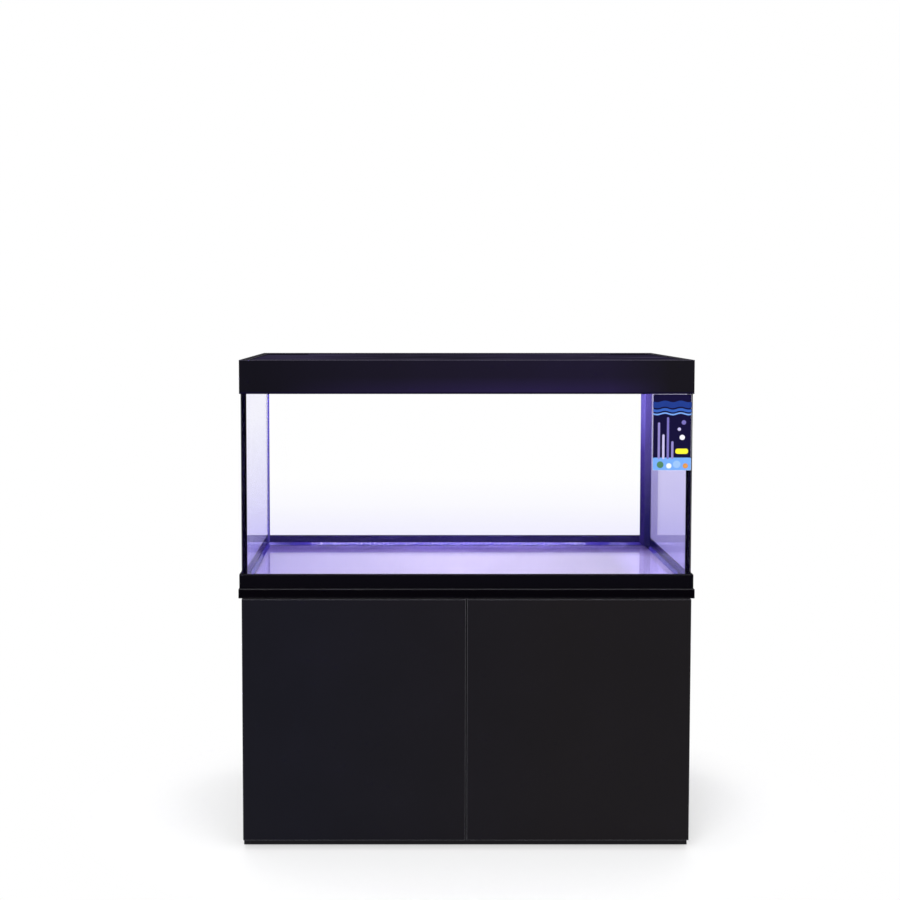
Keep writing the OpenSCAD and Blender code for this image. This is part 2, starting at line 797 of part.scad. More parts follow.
// Back panel of one bay, with an opening at the floor and one above the shelf's height
module back_panel(side) {
    bay_mid = side * (side_inner + divider_half) / 2;
    high_foot = shelf_z + back_cut_high_gap;
    color(black_gloss) difference() {
        block(bay_w, board_t, top_under - floor_top,
            x = bay_mid, y = back_front + board_t / 2, z = floor_top);
        translate([side * back_cut_x - back_cut_w / 2, back_front - cut, floor_top - cut])
            cube([back_cut_w, board_t + 2 * cut, back_cut_low_h + cut]);
        translate([side * back_cut_x - back_cut_w / 2, back_front - cut, high_foot])
            cube([back_cut_w, board_t + 2 * cut, back_cut_high_h]);
    }
}

module left_back() { back_panel(-1); }
module right_back() { back_panel(1); }

module shelf() {
    color(black_gloss)
        translate([divider_half + shelf_gap, shelf_front, shelf_z - board_t])
            cube([shelf_w, shelf_d, board_t]);
}

// Shelf pins in one wall of the right bay: side is -1 at the divider, 1 at the side panel
module shelf_pin_set(side, fit = 0) {
    wall_x = side > 0 ? side_inner : divider_half;
    for (y = [carcass_mid - shelf_pin_y, carcass_mid + shelf_pin_y])
        translate([wall_x, y, shelf_z - board_t - shelf_pin_r]) rotate([0, side * 90, 0])
            translate([0, 0, -shelf_pin_out])
                cylinder(r = shelf_pin_r + fit, h = shelf_pin_out + shelf_pin_in + fit, $fn = 24);
}

module shelf_pins() {
    color(bright_steel) for (side = [-1, 1]) shelf_pin_set(side);
}

module dowels() {
    color("#c9a36a") {
        for (x = [-1, 0, 1], y = dowel_places)
            translate([x * (carcass_w - board_t) / 2, y, top_under - dowel_l / 2])
                cylinder(r = dowel_r, h = dowel_l, $fn = 24);
        for (y = dowel_places)
            translate([0, y, floor_top - dowel_l / 2]) cylinder(r = dowel_r, h = dowel_l, $fn = 24);
        both_sides() for (y = dowel_places) floor_dowel(y);
    }
}

module cam_locks() {
    color("#8d8f94") for (x = [-1, 0, 1], y = cam_places) cam_lock(x, y, x < 0 ? 1 : -1);
}

module cam_bolts() {
    color("#8d8f94") for (x = [-1, 0, 1], y = cam_places) cam_bolt(x, y);
}

module floor_glides() {
    glide_in = 40;
    color("#202024")
        for (x = [-1, 0, 1], y = [carcass_front + glide_in, carcass_back - glide_in])
            translate([x * (carcass_w / 2 - glide_in), y, 0]) cylinder(r = glide_r, h = glide_h);
}

// ---- Doors ----

// A round cup with a side slot for the hinge pin at the origin, from y = bottom to y = mouth.
// inset takes it in on all sides.
module cup_shape(bottom, mouth, inset = 0) {
    cup_x = cup_in - hinge_pin_in;
    slot_start = slot_edge - hinge_pin_in + inset;
    slot_z = slot_half - inset;
    deep = mouth - bottom;
    translate([cup_x, mouth, 0]) rotate([90, 0, 0]) cylinder(r = cup_r - inset, h = deep);
    translate([slot_start, bottom, -slot_z]) cube([cup_x - slot_start, deep, 2 * slot_z]);
}

// Left door, flat and handle-less, with two hinge pockets in its inner face
module door() {
    difference() {
        translate([-door_outer, door_front, door_foot]) upright_board(door_w, board_t, door_h);
        at_left_hinges() cup_shape(cup_bottom, hinge_pin_deep + cut);
    }
}

module left_door() { color(black_gloss) door(); }
module right_door() { color(black_gloss) mirror([1, 0, 0]) door(); }

// Pressed cup with its flange on the door's inner face and its screw ears
module hinge_cup() {
    flange_t = 1.2;
    flange_r = cup_r + 2.5;
    ear_z = 24;
    ear_r = 7;
    cup_x = cup_in - hinge_pin_in;
    difference() {
        union() {
            cup_shape(cup_bottom, hinge_pin_deep, cup_fit);
            translate([cup_x, hinge_pin_deep + flange_t, 0]) rotate([90, 0, 0]) linear_extrude(flange_t) {
                circle(flange_r);
                square([2 * ear_r, 2 * ear_z], center = true);
                for (z = [-ear_z, ear_z]) translate([0, z]) circle(ear_r);
            }
        }
        cup_shape(cup_bottom + cup_wall, hinge_pin_deep + flange_t + cut, cup_fit + cup_wall);
        translate([0, 0, -slot_half]) cylinder(r = hinge_pin_r + pin_seat, h = 2 * slot_half, $fn = 32);
        for (z = [-ear_z, ear_z])
            translate([cup_x, hinge_pin_deep + flange_t + cut, z]) rotate([90, 0, 0])
                cylinder(r = 2, h = flange_t + 2 * cut, $fn = 24);
    }
}

// Cranked hinge arm: two side cheeks with eyes round the pin, and the web that joins them
module hinge_arm() {
    arm_foot = hinge_x - side_inner + plate_t;
    arm_head = hinge_x - side_inner + arm_stand;
    rear = arm_l + hinge_pin_deep + door_gap;
    neck = hinge_pin_deep + door_gap;
    eye_bore = hinge_pin_r + pin_clear;
    difference() {
        union() {
            for (z = [-arm_half, arm_half - arm_sheet])
                translate([0, 0, z]) linear_extrude(arm_sheet) {
                    circle(hinge_eye_r, $fn = 32);
                    polygon([
                        [0, -hinge_eye_r + 0.6], [arm_foot + 4, -hinge_eye_r + 0.6], [arm_head, neck - 4],
                        [arm_head, rear - 6], [arm_head - 4, rear], [arm_foot, rear],
                        [arm_foot, hinge_eye_r - 1.2], [0, hinge_eye_r - 1.2]
                    ]);
                }
            translate([arm_head - arm_sheet, neck - 4, -arm_half])
                cube([arm_sheet, rear - 6 - (neck - 4), 2 * arm_half]);
        }
        translate([0, 0, -arm_half - cut]) cylinder(r = eye_bore, h = 2 * (arm_half + cut), $fn = 32);
    }
}

// Cross-shaped plate on the side panel, under the arm
module hinge_plate() {
    plate_start = hinge_pin_deep + door_gap + plate_back;
    translate([hinge_x - side_inner, plate_start, 0]) rotate([90, 0, 90]) linear_extrude(plate_t) {
        translate([0, -arm_half]) square([plate_l, 2 * arm_half]);
        translate([(plate_l - plate_w) / 2, -plate_half]) square([plate_w, 2 * plate_half]);
        for (z = [-plate_half, plate_half]) translate([plate_l / 2, z]) circle(plate_w / 2);
    }
}

// Puts a part of the left door's hinges at both hinge heights
module at_left_hinges() {
    for (z = hinge_heights) translate([-hinge_x, hinge_y, z]) children();
}

module left_hinge_cups() { color(bright_steel) at_left_hinges() hinge_cup(); }
module right_hinge_cups() { color(bright_steel) mirror([1, 0, 0]) at_left_hinges() hinge_cup(); }
module left_hinge_arms() { color(bright_steel) at_left_hinges() hinge_arm(); }
module right_hinge_arms() { color(bright_steel) mirror([1, 0, 0]) at_left_hinges() hinge_arm(); }

// The pin stands in the cup's side walls
module hinge_pin() {
    pin_half = slot_half - cup_fit;
    translate([0, 0, -pin_half]) cylinder(r = hinge_pin_r, h = 2 * pin_half, $fn = 32);
}

module left_hinge_pins() { color(bright_steel) at_left_hinges() hinge_pin(); }
module right_hinge_pins() { color(bright_steel) mirror([1, 0, 0]) at_left_hinges() hinge_pin(); }

module hinge_plates() {
    color(bright_steel) both_sides() at_left_hinges() hinge_plate();
}

// ---- Push latches ----

// D-shaped latch body on the divider's right face, bored for the plunger, with its screw flange
module latch_body() {
    flange_h = 30;
    flange_l = 30;
    flange_t = 2.5;
    flange_y = 24;
    translate([divider_half, latch_front, latch_z]) difference() {
        union() {
            translate([0, latch_l, 0]) rotate([90, 0, 0]) linear_extrude(latch_l) {
                translate([0, -latch_h / 2]) square([latch_out, latch_h]);
                translate([latch_out, 0]) circle(latch_h / 2);
            }
            translate([0, flange_y, -flange_h / 2]) cube([flange_t, flange_l, flange_h]);
        }
        translate([latch_out, latch_bore_end - latch_front, 0]) rotate([90, 0, 0])
            cylinder(r = plunger_bore, h = latch_bore_end - latch_front + cut);
        for (z = [-1, 1])
            translate([-cut, flange_y + flange_l / 2, z * (flange_h / 2 - 4)]) rotate([0, 90, 0])
                cylinder(r = 1.8, h = flange_t + 2 * cut, $fn = 24);
    }
}

module right_latch() { color(white_plastic) latch_body(); }
module left_latch() { color(white_plastic) mirror([1, 0, 0]) latch_body(); }

// Round plunger with a domed rubber tip
module latch_plunger() {
    translate([latch_x, plunger_tip, latch_z]) rotate([-90, 0, 0]) cylinder(r = plunger_r, h = plunger_l);
}

module right_plunger() { color(white_plastic) latch_plunger(); }
module left_plunger() { color(white_plastic) mirror([1, 0, 0]) latch_plunger(); }

// A coil spring along +Y as one swept tube, its ends on y = 0 and y = length
module coil(radius, wire, length, turns) {
    steps = 12;
    sides = 6;
    rings = turns * steps;
    rise = (length - 2 * wire) / rings;
    points = [for (i = [0 : rings], j = [0 : sides - 1])
        let (turn = 360 * i / steps, around = 360 * j / sides, reach = radius + wire * cos(around))
        [reach * cos(turn), wire + rise * i + wire * sin(around), reach * sin(turn)]];
    walls = [for (i = [0 : rings - 1], j = [0 : sides - 1])
        [i * sides + j, i * sides + (j + 1) % sides,
            (i + 1) * sides + (j + 1) % sides, (i + 1) * sides + j]];
    start = [for (j = [sides - 1 : -1 : 0]) j];
    end = [for (j = [0 : sides - 1]) rings * sides + j];
    polyhedron(points, concat(walls, [start, end]));
}

module latch_springs() {
    wire = 0.5;
    rest_gap = 0.3;
    spring_start = plunger_tip + plunger_l + rest_gap;
    color(bright_steel) both_sides()
        translate([latch_x, spring_start, latch_z])
            coil(plunger_r - 2 * wire, wire, latch_bore_end - spring_start - rest_gap, 5);
}

module strike_plate() {
    translate([latch_x, door_back + strike_t, latch_z])
        rotate([90, 0, 0]) cylinder(r = strike_r, h = strike_t);
}

module right_strike() { color(white_plastic) strike_plate(); }
module left_strike() { color(white_plastic) mirror([1, 0, 0]) strike_plate(); }

bottom_glass();
front_glass();
rear_glass();
left_glass();
right_glass();
silicone_seams();
front_brace();
rear_brace();
base_trim();
foam_mat();
cable_channel();
hood_frame();
lid_frame();
hood_seat();
hood_gussets();
rear_deck();
front_lid();
lid_hinge_pins();
light_housing();
light_lens();
light_board();
light_end_caps();
light_brackets();
cabinet_top();
left_side();
right_side();
divider();
floor_board();
left_back();
right_back();
shelf();
shelf_pins();
dowels();
cam_locks();
cam_bolts();
floor_glides();
left_door();
right_door();
left_hinge_cups();
right_hinge_cups();
left_hinge_pins();
right_hinge_pins();
left_hinge_arms();
right_hinge_arms();
hinge_plates();
left_latch();
right_latch();
left_plunger();
right_plunger();
latch_springs();
left_strike();
right_strike();
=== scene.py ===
"""Aquarium on its two-door stand: finishes, small fittings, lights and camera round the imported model."""
import math

import bmesh
import bpy
from mathutils import Matrix, Vector


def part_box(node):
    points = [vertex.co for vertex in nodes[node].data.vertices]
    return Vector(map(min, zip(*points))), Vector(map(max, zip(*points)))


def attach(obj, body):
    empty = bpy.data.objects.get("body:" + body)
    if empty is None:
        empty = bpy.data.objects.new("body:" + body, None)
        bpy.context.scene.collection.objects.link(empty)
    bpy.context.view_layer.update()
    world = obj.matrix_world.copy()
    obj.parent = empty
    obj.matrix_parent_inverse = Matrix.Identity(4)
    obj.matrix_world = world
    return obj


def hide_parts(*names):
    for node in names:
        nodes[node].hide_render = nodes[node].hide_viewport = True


MM = 0.001
CABINET = "cabinet_and_tank"
LEFT_DOOR = "left_door"
RIGHT_DOOR = "right_door"

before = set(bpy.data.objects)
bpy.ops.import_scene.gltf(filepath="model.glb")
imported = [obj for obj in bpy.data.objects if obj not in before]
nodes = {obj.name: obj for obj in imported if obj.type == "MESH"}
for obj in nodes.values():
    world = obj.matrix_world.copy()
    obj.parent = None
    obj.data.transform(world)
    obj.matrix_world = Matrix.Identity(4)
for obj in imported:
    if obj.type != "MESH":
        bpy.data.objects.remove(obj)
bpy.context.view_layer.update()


# ---- Camera ----

CAMERA_PLACE = (-0.162, -2.454, 1.444)
CAMERA_PITCH = 2.0
CAMERA_LENS = 34.08
CAMERA_SHIFT = (0.0493, -0.119)

camera_data = bpy.data.cameras.new("camera")
camera_data.lens = CAMERA_LENS
camera_data.sensor_width = 36
camera_data.shift_x, camera_data.shift_y = CAMERA_SHIFT
camera_data.clip_start = 0.05
camera = bpy.data.objects.new("camera", camera_data)
camera.location = CAMERA_PLACE
camera.rotation_euler = (math.radians(90 - CAMERA_PITCH), 0, 0)
bpy.context.scene.collection.objects.link(camera)
bpy.context.scene.camera = camera
bpy.context.scene.view_settings.view_transform = "Standard"


# ---- Making materials ----

def linear(colour):
    """A linear colour from its sRGB hex."""
    parts = [int(colour[i:i + 2], 16) / 255 for i in (1, 3, 5)]
    return [c / 12.92 if c <= 0.04045 else ((c + 0.055) / 1.055) ** 2.4 for c in parts] + [1.0]


def add(tree, kind, inputs=None, **settings):
    """Adds a node: settings are its own, inputs are values or the outputs that feed it."""
    made = tree.nodes.new(kind)
    for name, value in settings.items():
        setattr(made, name, value)
    for name, value in (inputs or {}).items():
        if isinstance(value, bpy.types.NodeSocket):
            tree.links.new(value, made.inputs[name])
        else:
            made.inputs[name].default_value = value
    return made


def start_material(name, **constants):
    """A new material with its constants on the shader: tree, shader and object coordinates."""
    made = bpy.data.materials.new(name)
    made.use_nodes = True
    tree = made.node_tree
    shader = tree.nodes["Principled BSDF"]
    for socket, value in constants.items():
        shader.inputs[socket.replace("_", " ")].default_value = value
    place = add(tree, "ShaderNodeTexCoord").outputs["Object"]
    return made, tree, shader, place


def finish(tree, shader, place, colours, cloud_mm, grain_mm, rough, deep_mm, edge_mm=0.0, drawn=(1, 1, 1)):
    """Colour that drifts in wide soft patches, and a finer grain that varies the gloss and lifts the surface.

    Edges look rounded by edge_mm, and drawn makes the grain run longer one way than another.
    """
    cloud = add(tree, "ShaderNodeTexNoise", {
        "Vector": place, "Scale": 1 / (cloud_mm * MM), "Detail": 3.0}).outputs["Fac"]
    first, second = [linear(c) if isinstance(c, str) else c for c in colours]
    colour = add(tree, "ShaderNodeMix", {"Factor": cloud, 6: first, 7: second}, data_type="RGBA").outputs[2]
    tree.links.new(colour, shader.inputs["Base Color"])
    run = add(tree, "ShaderNodeVectorMath", {0: place, 1: drawn}, operation="MULTIPLY").outputs[0]
    grain = add(tree, "ShaderNodeTexNoise", {
        "Vector": run, "Scale": 1 / (grain_mm * MM), "Detail": 2.0, "Roughness": 0.6}).outputs["Fac"]
    gloss = add(tree, "ShaderNodeMapRange", {
        "Value": grain, "From Min": 0.3, "From Max": 0.7, "To Min": rough[0], "To Max": rough[1]}).outputs[0]
    tree.links.new(gloss, shader.inputs["Roughness"])
    lifted = {"Height": grain, "Distance": deep_mm * MM}
    if edge_mm:
        lifted["Normal"] = add(tree, "ShaderNodeBevel", {"Radius": edge_mm * MM}, samples=6).outputs[0]
    tree.links.new(add(tree, "ShaderNodeBump", lifted).outputs[0], shader.inputs["Normal"])


def along(tree, place, axis, start, end, first, second):
    """A colour that goes from the first to the second between two places on one axis, in millimetres."""
    parts = add(tree, "ShaderNodeSeparateXYZ", {0: place}).outputs
    way = add(tree, "ShaderNodeMapRange", {
        "Value": parts["XYZ".index(axis)], "From Min": start * MM, "From Max": end * MM}).outputs[0]
    first, second = [linear(c) if isinstance(c, str) else c for c in (first, second)]
    return add(tree, "ShaderNodeMix", {"Factor": way, 6: first, 7: second}, data_type="RGBA").outputs[2]


def painted_edge_highlight(tree, edge_mm, plain, lit):
    """The plain colour, with a paler one painted along the edges as a highlight, where they would catch the
    light.
    """
    turned = add(tree, "ShaderNodeBevel", {"Radius": edge_mm * MM}, samples=8).outputs[0]
    flat = add(tree, "ShaderNodeNewGeometry").outputs["Normal"]
    alike = add(tree, "ShaderNodeVectorMath", {0: turned, 1: flat}, operation="DOT_PRODUCT").outputs[1]
    edge = add(tree, "ShaderNodeMapRange", {"Value": alike, "From Min": 0.995, "From Max": 0.85}).outputs[0]
    plain, lit = [linear(c) if isinstance(c, str) else c for c in (plain, lit)]
    return add(tree, "ShaderNodeMix", {"Factor": edge, 6: plain, 7: lit}, data_type="RGBA").outputs[2]


def dress(material, *names):
    """Puts a material on CAD nodes."""
    for name in names:
        for slot in nodes[name].material_slots:
            slot.material = material


# ---- Materials ----

def float_glass(name, high, low, top, foot):
    """Float glass with seamed edges: clear and mirror smooth, painted lavender low down as the lamp's light.
    """
    made, tree, shader, place = start_material(
        name, IOR=1.5, Roughness=0.0, Transmission_Weight=1.0, Specular_Tint=linear("#3c3c46"))
    tree.links.new(along(tree, place, "Z", high, low, top, foot), shader.inputs["Base Color"])
    return made


def silicone_rubber(name, black, soft_black, violet, soft_violet, sheen):
    """Acetic silicone, tooled by hand: black, wet looking, painted violet towards the back as the lamp's
    light on it.
    """
    made, tree, shader, place = start_material(name, IOR=1.41, Specular_IOR_Level=sheen)
    # Painted lamp light: black at the front, turning violet towards the back.
    colours = [along(tree, place, "Y", -186, -120, front, back)
               for front, back in ((black, violet), (soft_black, soft_violet))]
    finish(tree, shader, place, colours, cloud_mm=18, grain_mm=9, rough=(0.01, 0.03), deep_mm=0.002)
    return made


def moulded_abs(name, dark, light, grain_mm, grain_deep, rough, shine, edge_mm=0.7):
    """Injection-moulded ABS: black, with the fine spark-eroded grain of the mould and a soft satin gloss."""
    made, tree, shader, place = start_material(
        name, IOR=1.54, Specular_IOR_Level=0.0, Coat_Weight=shine, Coat_Roughness=rough - 0.06)
    finish(tree, shader, place, (dark, light), cloud_mm=160, grain_mm=grain_mm,
           rough=(rough - 0.05, rough + 0.05), deep_mm=grain_deep, edge_mm=edge_mm)
    return made


def hood_abs():
    """Injection-moulded ABS of the hood: near black, satin, with painted lamp light and shade, its top edges
    painted paler as a highlight.
    """
    made, tree, shader, place = start_material(
        "abs_hood_moulded", IOR=1.54, Specular_IOR_Level=0.0, Coat_Weight=0.07, Coat_Roughness=0.28)
    colours = []
    for left, middle, right, end, low in (("#0a0910", "#110e19", "#14101f", "#0f0d13", "#1a1430"),
                                          ("#0d0b14", "#141020", "#171227", "#110f16", "#201838")):
        # Painted light and shade along the hood: darker at the left, violet low down towards the right as the
        # lamp's glow, less violet at the right end.
        hood_painted_light = along(tree, place, "X", -560, -150, left, middle)
        hood_painted_light = along(tree, place, "X", -150, 250, hood_painted_light, right)
        painted_glow_low = along(tree, place, "X", -500, 150, hood_painted_light, low)
        hood_painted_light = along(tree, place, "Z", 1275, 1240, hood_painted_light, painted_glow_low)
        hood_painted_light = along(tree, place, "X", 380, 540, hood_painted_light, end)
        # Painted shade: a dark line along the lower lip.
        hood_painted_light = along(tree, place, "Z", 1236, 1233, hood_painted_light, "#080420")
        # Painted highlight: the top edges paler.
        top = along(tree, place, "Z", 1316, 1318, "#100d18", "#4a4655")
        colours.append(painted_edge_highlight(tree, 3.0, hood_painted_light, top))
    finish(tree, shader, place, colours, cloud_mm=160, grain_mm=2.2, rough=(0.29, 0.39), deep_mm=0.05,
           edge_mm=0.7)
    return made


def lid_abs():
    """Injection-moulded ABS of the lid and deck: dark violet grey, with painted light and shade from left to
    right and long faint streaks of painted reflection.
    """
    made, tree, shader, place = start_material(
        "abs_lid_moulded", IOR=1.54, Specular_IOR_Level=0.0, Coat_Weight=0.02, Coat_Roughness=0.39)
    # Painted reflection: long faint pale streaks.
    run = add(tree, "ShaderNodeVectorMath", {0: place, 1: (0.35, 4.0, 1.0)}, operation="MULTIPLY").outputs[0]
    painted_reflection_noise = add(tree, "ShaderNodeTexNoise", {
        "Vector": run, "Scale": 1 / (70 * MM), "Detail": 2.0}).outputs["Fac"]
    painted_reflection_mask = add(tree, "ShaderNodeMapRange", {"Value": painted_reflection_noise, "From Min": 0.52, "From Max": 0.72}).outputs[0]
    colours = []
    for left, middle, right, pale in (("#1a1628", "#0b0914", "#130f20", "#2b2738"),
                                      ("#201b30", "#100d1b", "#191428", "#383346")):
        # Painted light and shade: paler at the left, darkest in the middle.
        plain = along(tree, place, "X", -420, -220, left, middle)
        plain = along(tree, place, "X", -20, 160, plain, right)
        colours.append(add(tree, "ShaderNodeMix", {"Factor": painted_reflection_mask, 6: plain, 7: linear(pale)},
                           data_type="RGBA").outputs[2])
    finish(tree, shader, place, colours, cloud_mm=160, grain_mm=2.2, rough=(0.4, 0.5), deep_mm=0.08,
           edge_mm=0.7)
    return made


def trim_abs():
    """Injection-moulded ABS round the foot of the tank: black outside with a painted highlight on the edges,
    the faces towards the tank painted violet as the lamp's light.
    """
    made, tree, shader, place = start_material(
        "abs_trim_moulded", IOR=1.54, Specular_IOR_Level=0.0, Coat_Weight=0.03, Coat_Roughness=0.25)
    flat = add(tree, "ShaderNodeVectorMath", {0: place, 1: (1, 1, 0)}, operation="MULTIPLY").outputs[0]
    normal = add(tree, "ShaderNodeNewGeometry").outputs["Normal"]
    outward = add(tree, "ShaderNodeVectorMath", {0: normal, 1: flat}, operation="DOT_PRODUCT").outputs[1]
    # Painted lamp light: faces turned towards the tank are painted violet.
    painted_lamp_light_faces = add(tree, "ShaderNodeMapRange", {
        "Value": outward, "From Min": 0.0, "From Max": -0.02}).outputs[0]
    # Painted highlight along the outer edges.
    outer = painted_edge_highlight(tree, 2.0, "#06050a", "#4a494f")
    colours = [add(tree, "ShaderNodeMix", {"Factor": painted_lamp_light_faces, 6: outer, 7: linear(violet)},
                   data_type="RGBA").outputs[2] for violet in ("#2f2758", "#3c3268")]
    finish(tree, shader, place, colours, cloud_mm=160, grain_mm=2.6, rough=(0.28, 0.38), deep_mm=0.04,
           edge_mm=1.0)
    return made


def duct_abs():
    """Extruded cable duct: matt dark violet plastic, with painted lamp light and shade: the side to the tank
    painted paler near the top, both faces painted darker low down.
    """
    made, tree, shader, place = start_material("abs_duct_extruded", IOR=1.54, Specular_IOR_Level=0.0)
    normal = add(tree, "ShaderNodeNewGeometry").outputs["Normal"]
    parts = add(tree, "ShaderNodeSeparateXYZ", {0: normal}).outputs
    # Painted light: the side facing the tank takes its own lamp-lit colours.
    painted_light_side_mask = add(tree, "ShaderNodeMapRange", {
        "Value": parts[0], "From Min": -0.4, "From Max": -0.9}).outputs[0]
    colours = []
    for front_top, front_low, side_top, side_middle, side_low in (
            ("#3f3764", "#1c1846", "#443e6a", "#2c2352", "#1a123f"),
            ("#433b68", "#1f1b4a", "#484270", "#302758", "#1d1543")):
        front = along(tree, place, "Z", 1000, 800, front_top, front_low)
        side = along(tree, place, "Z", 1130, 1020, side_top, side_middle)
        side = along(tree, place, "Z", 1020, 860, side, side_low)
        colours.append(add(tree, "ShaderNodeMix", {"Factor": painted_light_side_mask, 6: front, 7: side},
                           data_type="RGBA").outputs[2])
    finish(tree, shader, place, colours, cloud_mm=60, grain_mm=2.0, rough=(0.25, 0.4), deep_mm=0.05,
           edge_mm=0.4, drawn=(1, 1, 0.02))
    return made


def melamine(name, dark, light, rough, shine, wave_deep, edge_mm=0.8, edge="#2b2a2f"):
    """Melamine-faced board, pressed on a polished plate: near black, even, with a faint pearl and a painted
    highlight along its edges.
    """
    made, tree, shader, place = start_material(name, IOR=1.5, Specular_IOR_Level=shine)
    colours = [painted_edge_highlight(tree, 1.8, plain, edge) for plain in (dark, light)]
    finish(tree, shader, place, colours, cloud_mm=240, grain_mm=3.0, rough=(rough - 0.03, rough + 0.03),
           deep_mm=wave_deep, edge_mm=edge_mm)
    return made


def door_board():
    """Melamine-faced doors, pressed on a polished plate: near black, with a painted reflection cool at the
    left and warm at the right, and a painted highlight along the edges.
    """
    made, tree, shader, place = start_material("melamine_door", IOR=1.5, Specular_IOR_Level=0.09)
    # Painted reflection from left to right, and a bright painted highlight along the edges.
    colours = [painted_edge_highlight(tree, 1.8, along(tree, place, "X", -450, 250, cool, warm), "#7d7c83")
               for cool, warm in (("#070710", "#0d0a0d"), ("#0d0c17", "#110e12"))]
    finish(tree, shader, place, colours, cloud_mm=210, grain_mm=3.0, rough=(0.21, 0.27), deep_mm=0.01,
           edge_mm=0.8)
    return made


def closed_cell_foam():
    """Cross-linked PE foam, skived from a block: pale, quite matt, with its cut cells as a fine pitting and
    painted lamp light and shade.
    """
    made, tree, shader, place = start_material("pe_foam_skived", IOR=1.45, Specular_IOR_Level=0.0)
    # Real cells are about 0.8 mm; they are drawn at 3 mm to show.
    colours = []
    # Painted lamp light and shade: greyer at the left, paler to the right, palest at the right end, and
    # painted darker violet towards the back as the lamp's light falls off.
    for left, right, back in (("#cac0d4", "#dad4cf", "#74649a"), ("#c0b6d2", "#ece6d8", "#9c8cba")):
        front = along(tree, place, "X", -560, -100, left, right)
        front = along(tree, place, "X", 440, 510, front, "#fff6ff")
        colours.append(along(tree, place, "Y", 60, 150, front, back))
    finish(tree, shader, place, colours, cloud_mm=110, grain_mm=3, rough=(0.85, 0.95), deep_mm=0.25)
    return made


def plated_steel(name, colour, worn, rough, drawn):
    """Pressed sheet steel under nickel: a bright, slightly drawn metal with faint rolling lines."""
    made, tree, shader, place = start_material(name, Metallic=1.0)
    finish(tree, shader, place, (colour, worn), cloud_mm=30, grain_mm=1.2,
           rough=(rough - 0.06, rough + 0.08), deep_mm=0.02, edge_mm=0.25, drawn=drawn)
    return made


def die_cast_zinc():
    """Die-cast zinc with a blue passivation: dull grey, mottled, softly shining."""
    made, tree, shader, place = start_material("zinc_die_cast", Metallic=1.0)
    finish(tree, shader, place, ("#8e9095", "#b4b6bb"), cloud_mm=3, grain_mm=2, rough=(0.32, 0.5),
           deep_mm=0.04, edge_mm=0.3)
    return made


def spring_wire():
    """Drawn music wire: dark steel with a tight, oily shine."""
    made, tree, shader, place = start_material("spring_wire_drawn", Metallic=1.0)
    finish(tree, shader, place, ("#77797d", "#a2a4a8"), cloud_mm=4, grain_mm=0.8, rough=(0.2, 0.34),
           deep_mm=0.01, edge_mm=0.0, drawn=(1, 0.2, 1))
    return made


def anodised_aluminium():
    """Extruded, satin-anodised aluminium: silver grey, with die lines along its length."""
    made, tree, shader, place = start_material("aluminium_anodised", Metallic=1.0)
    finish(tree, shader, place, ("#b9bcc2", "#d3d5da"), cloud_mm=90, grain_mm=0.7, rough=(0.3, 0.42),
           deep_mm=0.03, edge_mm=0.3, drawn=(0.01, 1, 1))
    return made


def clear_acrylic():
    """Extruded clear acrylic: glassy, with a very slight waviness along the strip."""
    made, tree, shader, place = start_material("acrylic_extruded", IOR=1.49, Transmission_Weight=1.0)
    finish(tree, shader, place, ("#f2f1ff", "#ffffff"), cloud_mm=40, grain_mm=9, rough=(0.0, 0.012),
           deep_mm=0.002, edge_mm=0.0, drawn=(0.1, 1, 1))
    return made


def solder_mask():
    """Aluminium-backed circuit strip under white solder mask: even white with pale copper lands."""
    made, tree, shader, place = start_material("solder_mask_white", IOR=1.5)
    flat = add(tree, "ShaderNodeVectorMath", {0: place, 1: (1, 1, 0)}, operation="MULTIPLY").outputs[0]
    lands = add(tree, "ShaderNodeTexBrick", {
        "Vector": flat, "Scale": 1.0,
        "Color1": linear("#f3f2ee"), "Color2": linear("#efeeea"), "Mortar": linear("#d9c9a8"),
        "Mortar Size": 0.5 * MM, "Brick Width": 16.5 * MM, "Row Height": 18 * MM,
    }).outputs["Color"]
    finish(tree, shader, place, (lands, lands), cloud_mm=40, grain_mm=2, rough=(0.3, 0.45), deep_mm=0.02)
    return made


def moulded_nylon(name, dark, light):
    """Injection-moulded nylon: slightly translucent white, satin, with the mould's faint texture."""
    made, tree, shader, place = start_material(
        name, IOR=1.53, Subsurface_Weight=0.15, Subsurface_Scale=2 * MM)
    finish(tree, shader, place, (dark, light), cloud_mm=12, grain_mm=2, rough=(0.32, 0.42), deep_mm=0.04,
           edge_mm=0.5)
    return made


def turned_beech():
    """Fluted beech dowel: pale pinkish brown with short dark rays along the grain."""
    made, tree, shader, place = start_material("beech_turned", IOR=1.5)
    finish(tree, shader, place, ("#b98a5c", "#dcb98c"), cloud_mm=6, grain_mm=1.5, rough=(0.5, 0.65),
           deep_mm=0.1, edge_mm=0.0, drawn=(0.15, 1, 1))
    return made


# Painted lamp light: the end panes are painted violet, the right one deeper, and every pane more violet low
# down.
glass_clear = float_glass("float_glass_clear", high=930, low=760, top="#ffffff", foot="#f5f4ff")
glass_left = float_glass("float_glass_left", high=1150, low=760, top="#ecebfb", foot="#b0a7f3")
glass_right = float_glass("float_glass_right", high=1150, low=760, top="#cbc5f4", foot="#a89fe2")
silicone = silicone_rubber("silicone_tooled", black="#05040a", soft_black="#080612", violet="#241b5a",
                           soft_violet="#3a2f7c", sheen=0.5)
silicone_foot = silicone_rubber("silicone_foot", black="#05040a", soft_black="#080612", violet="#1c1450",
                                soft_violet="#332872", sheen=1.0)
silicone_pressed = silicone_rubber("silicone_pressed", black="#07041a", soft_black="#0a0620",
                                   violet="#1d1650", soft_violet="#2b2163", sheen=0.0)
abs_hood = hood_abs()
abs_lid = lid_abs()
abs_trim = trim_abs()
abs_duct = duct_abs()
board_doors = door_board()
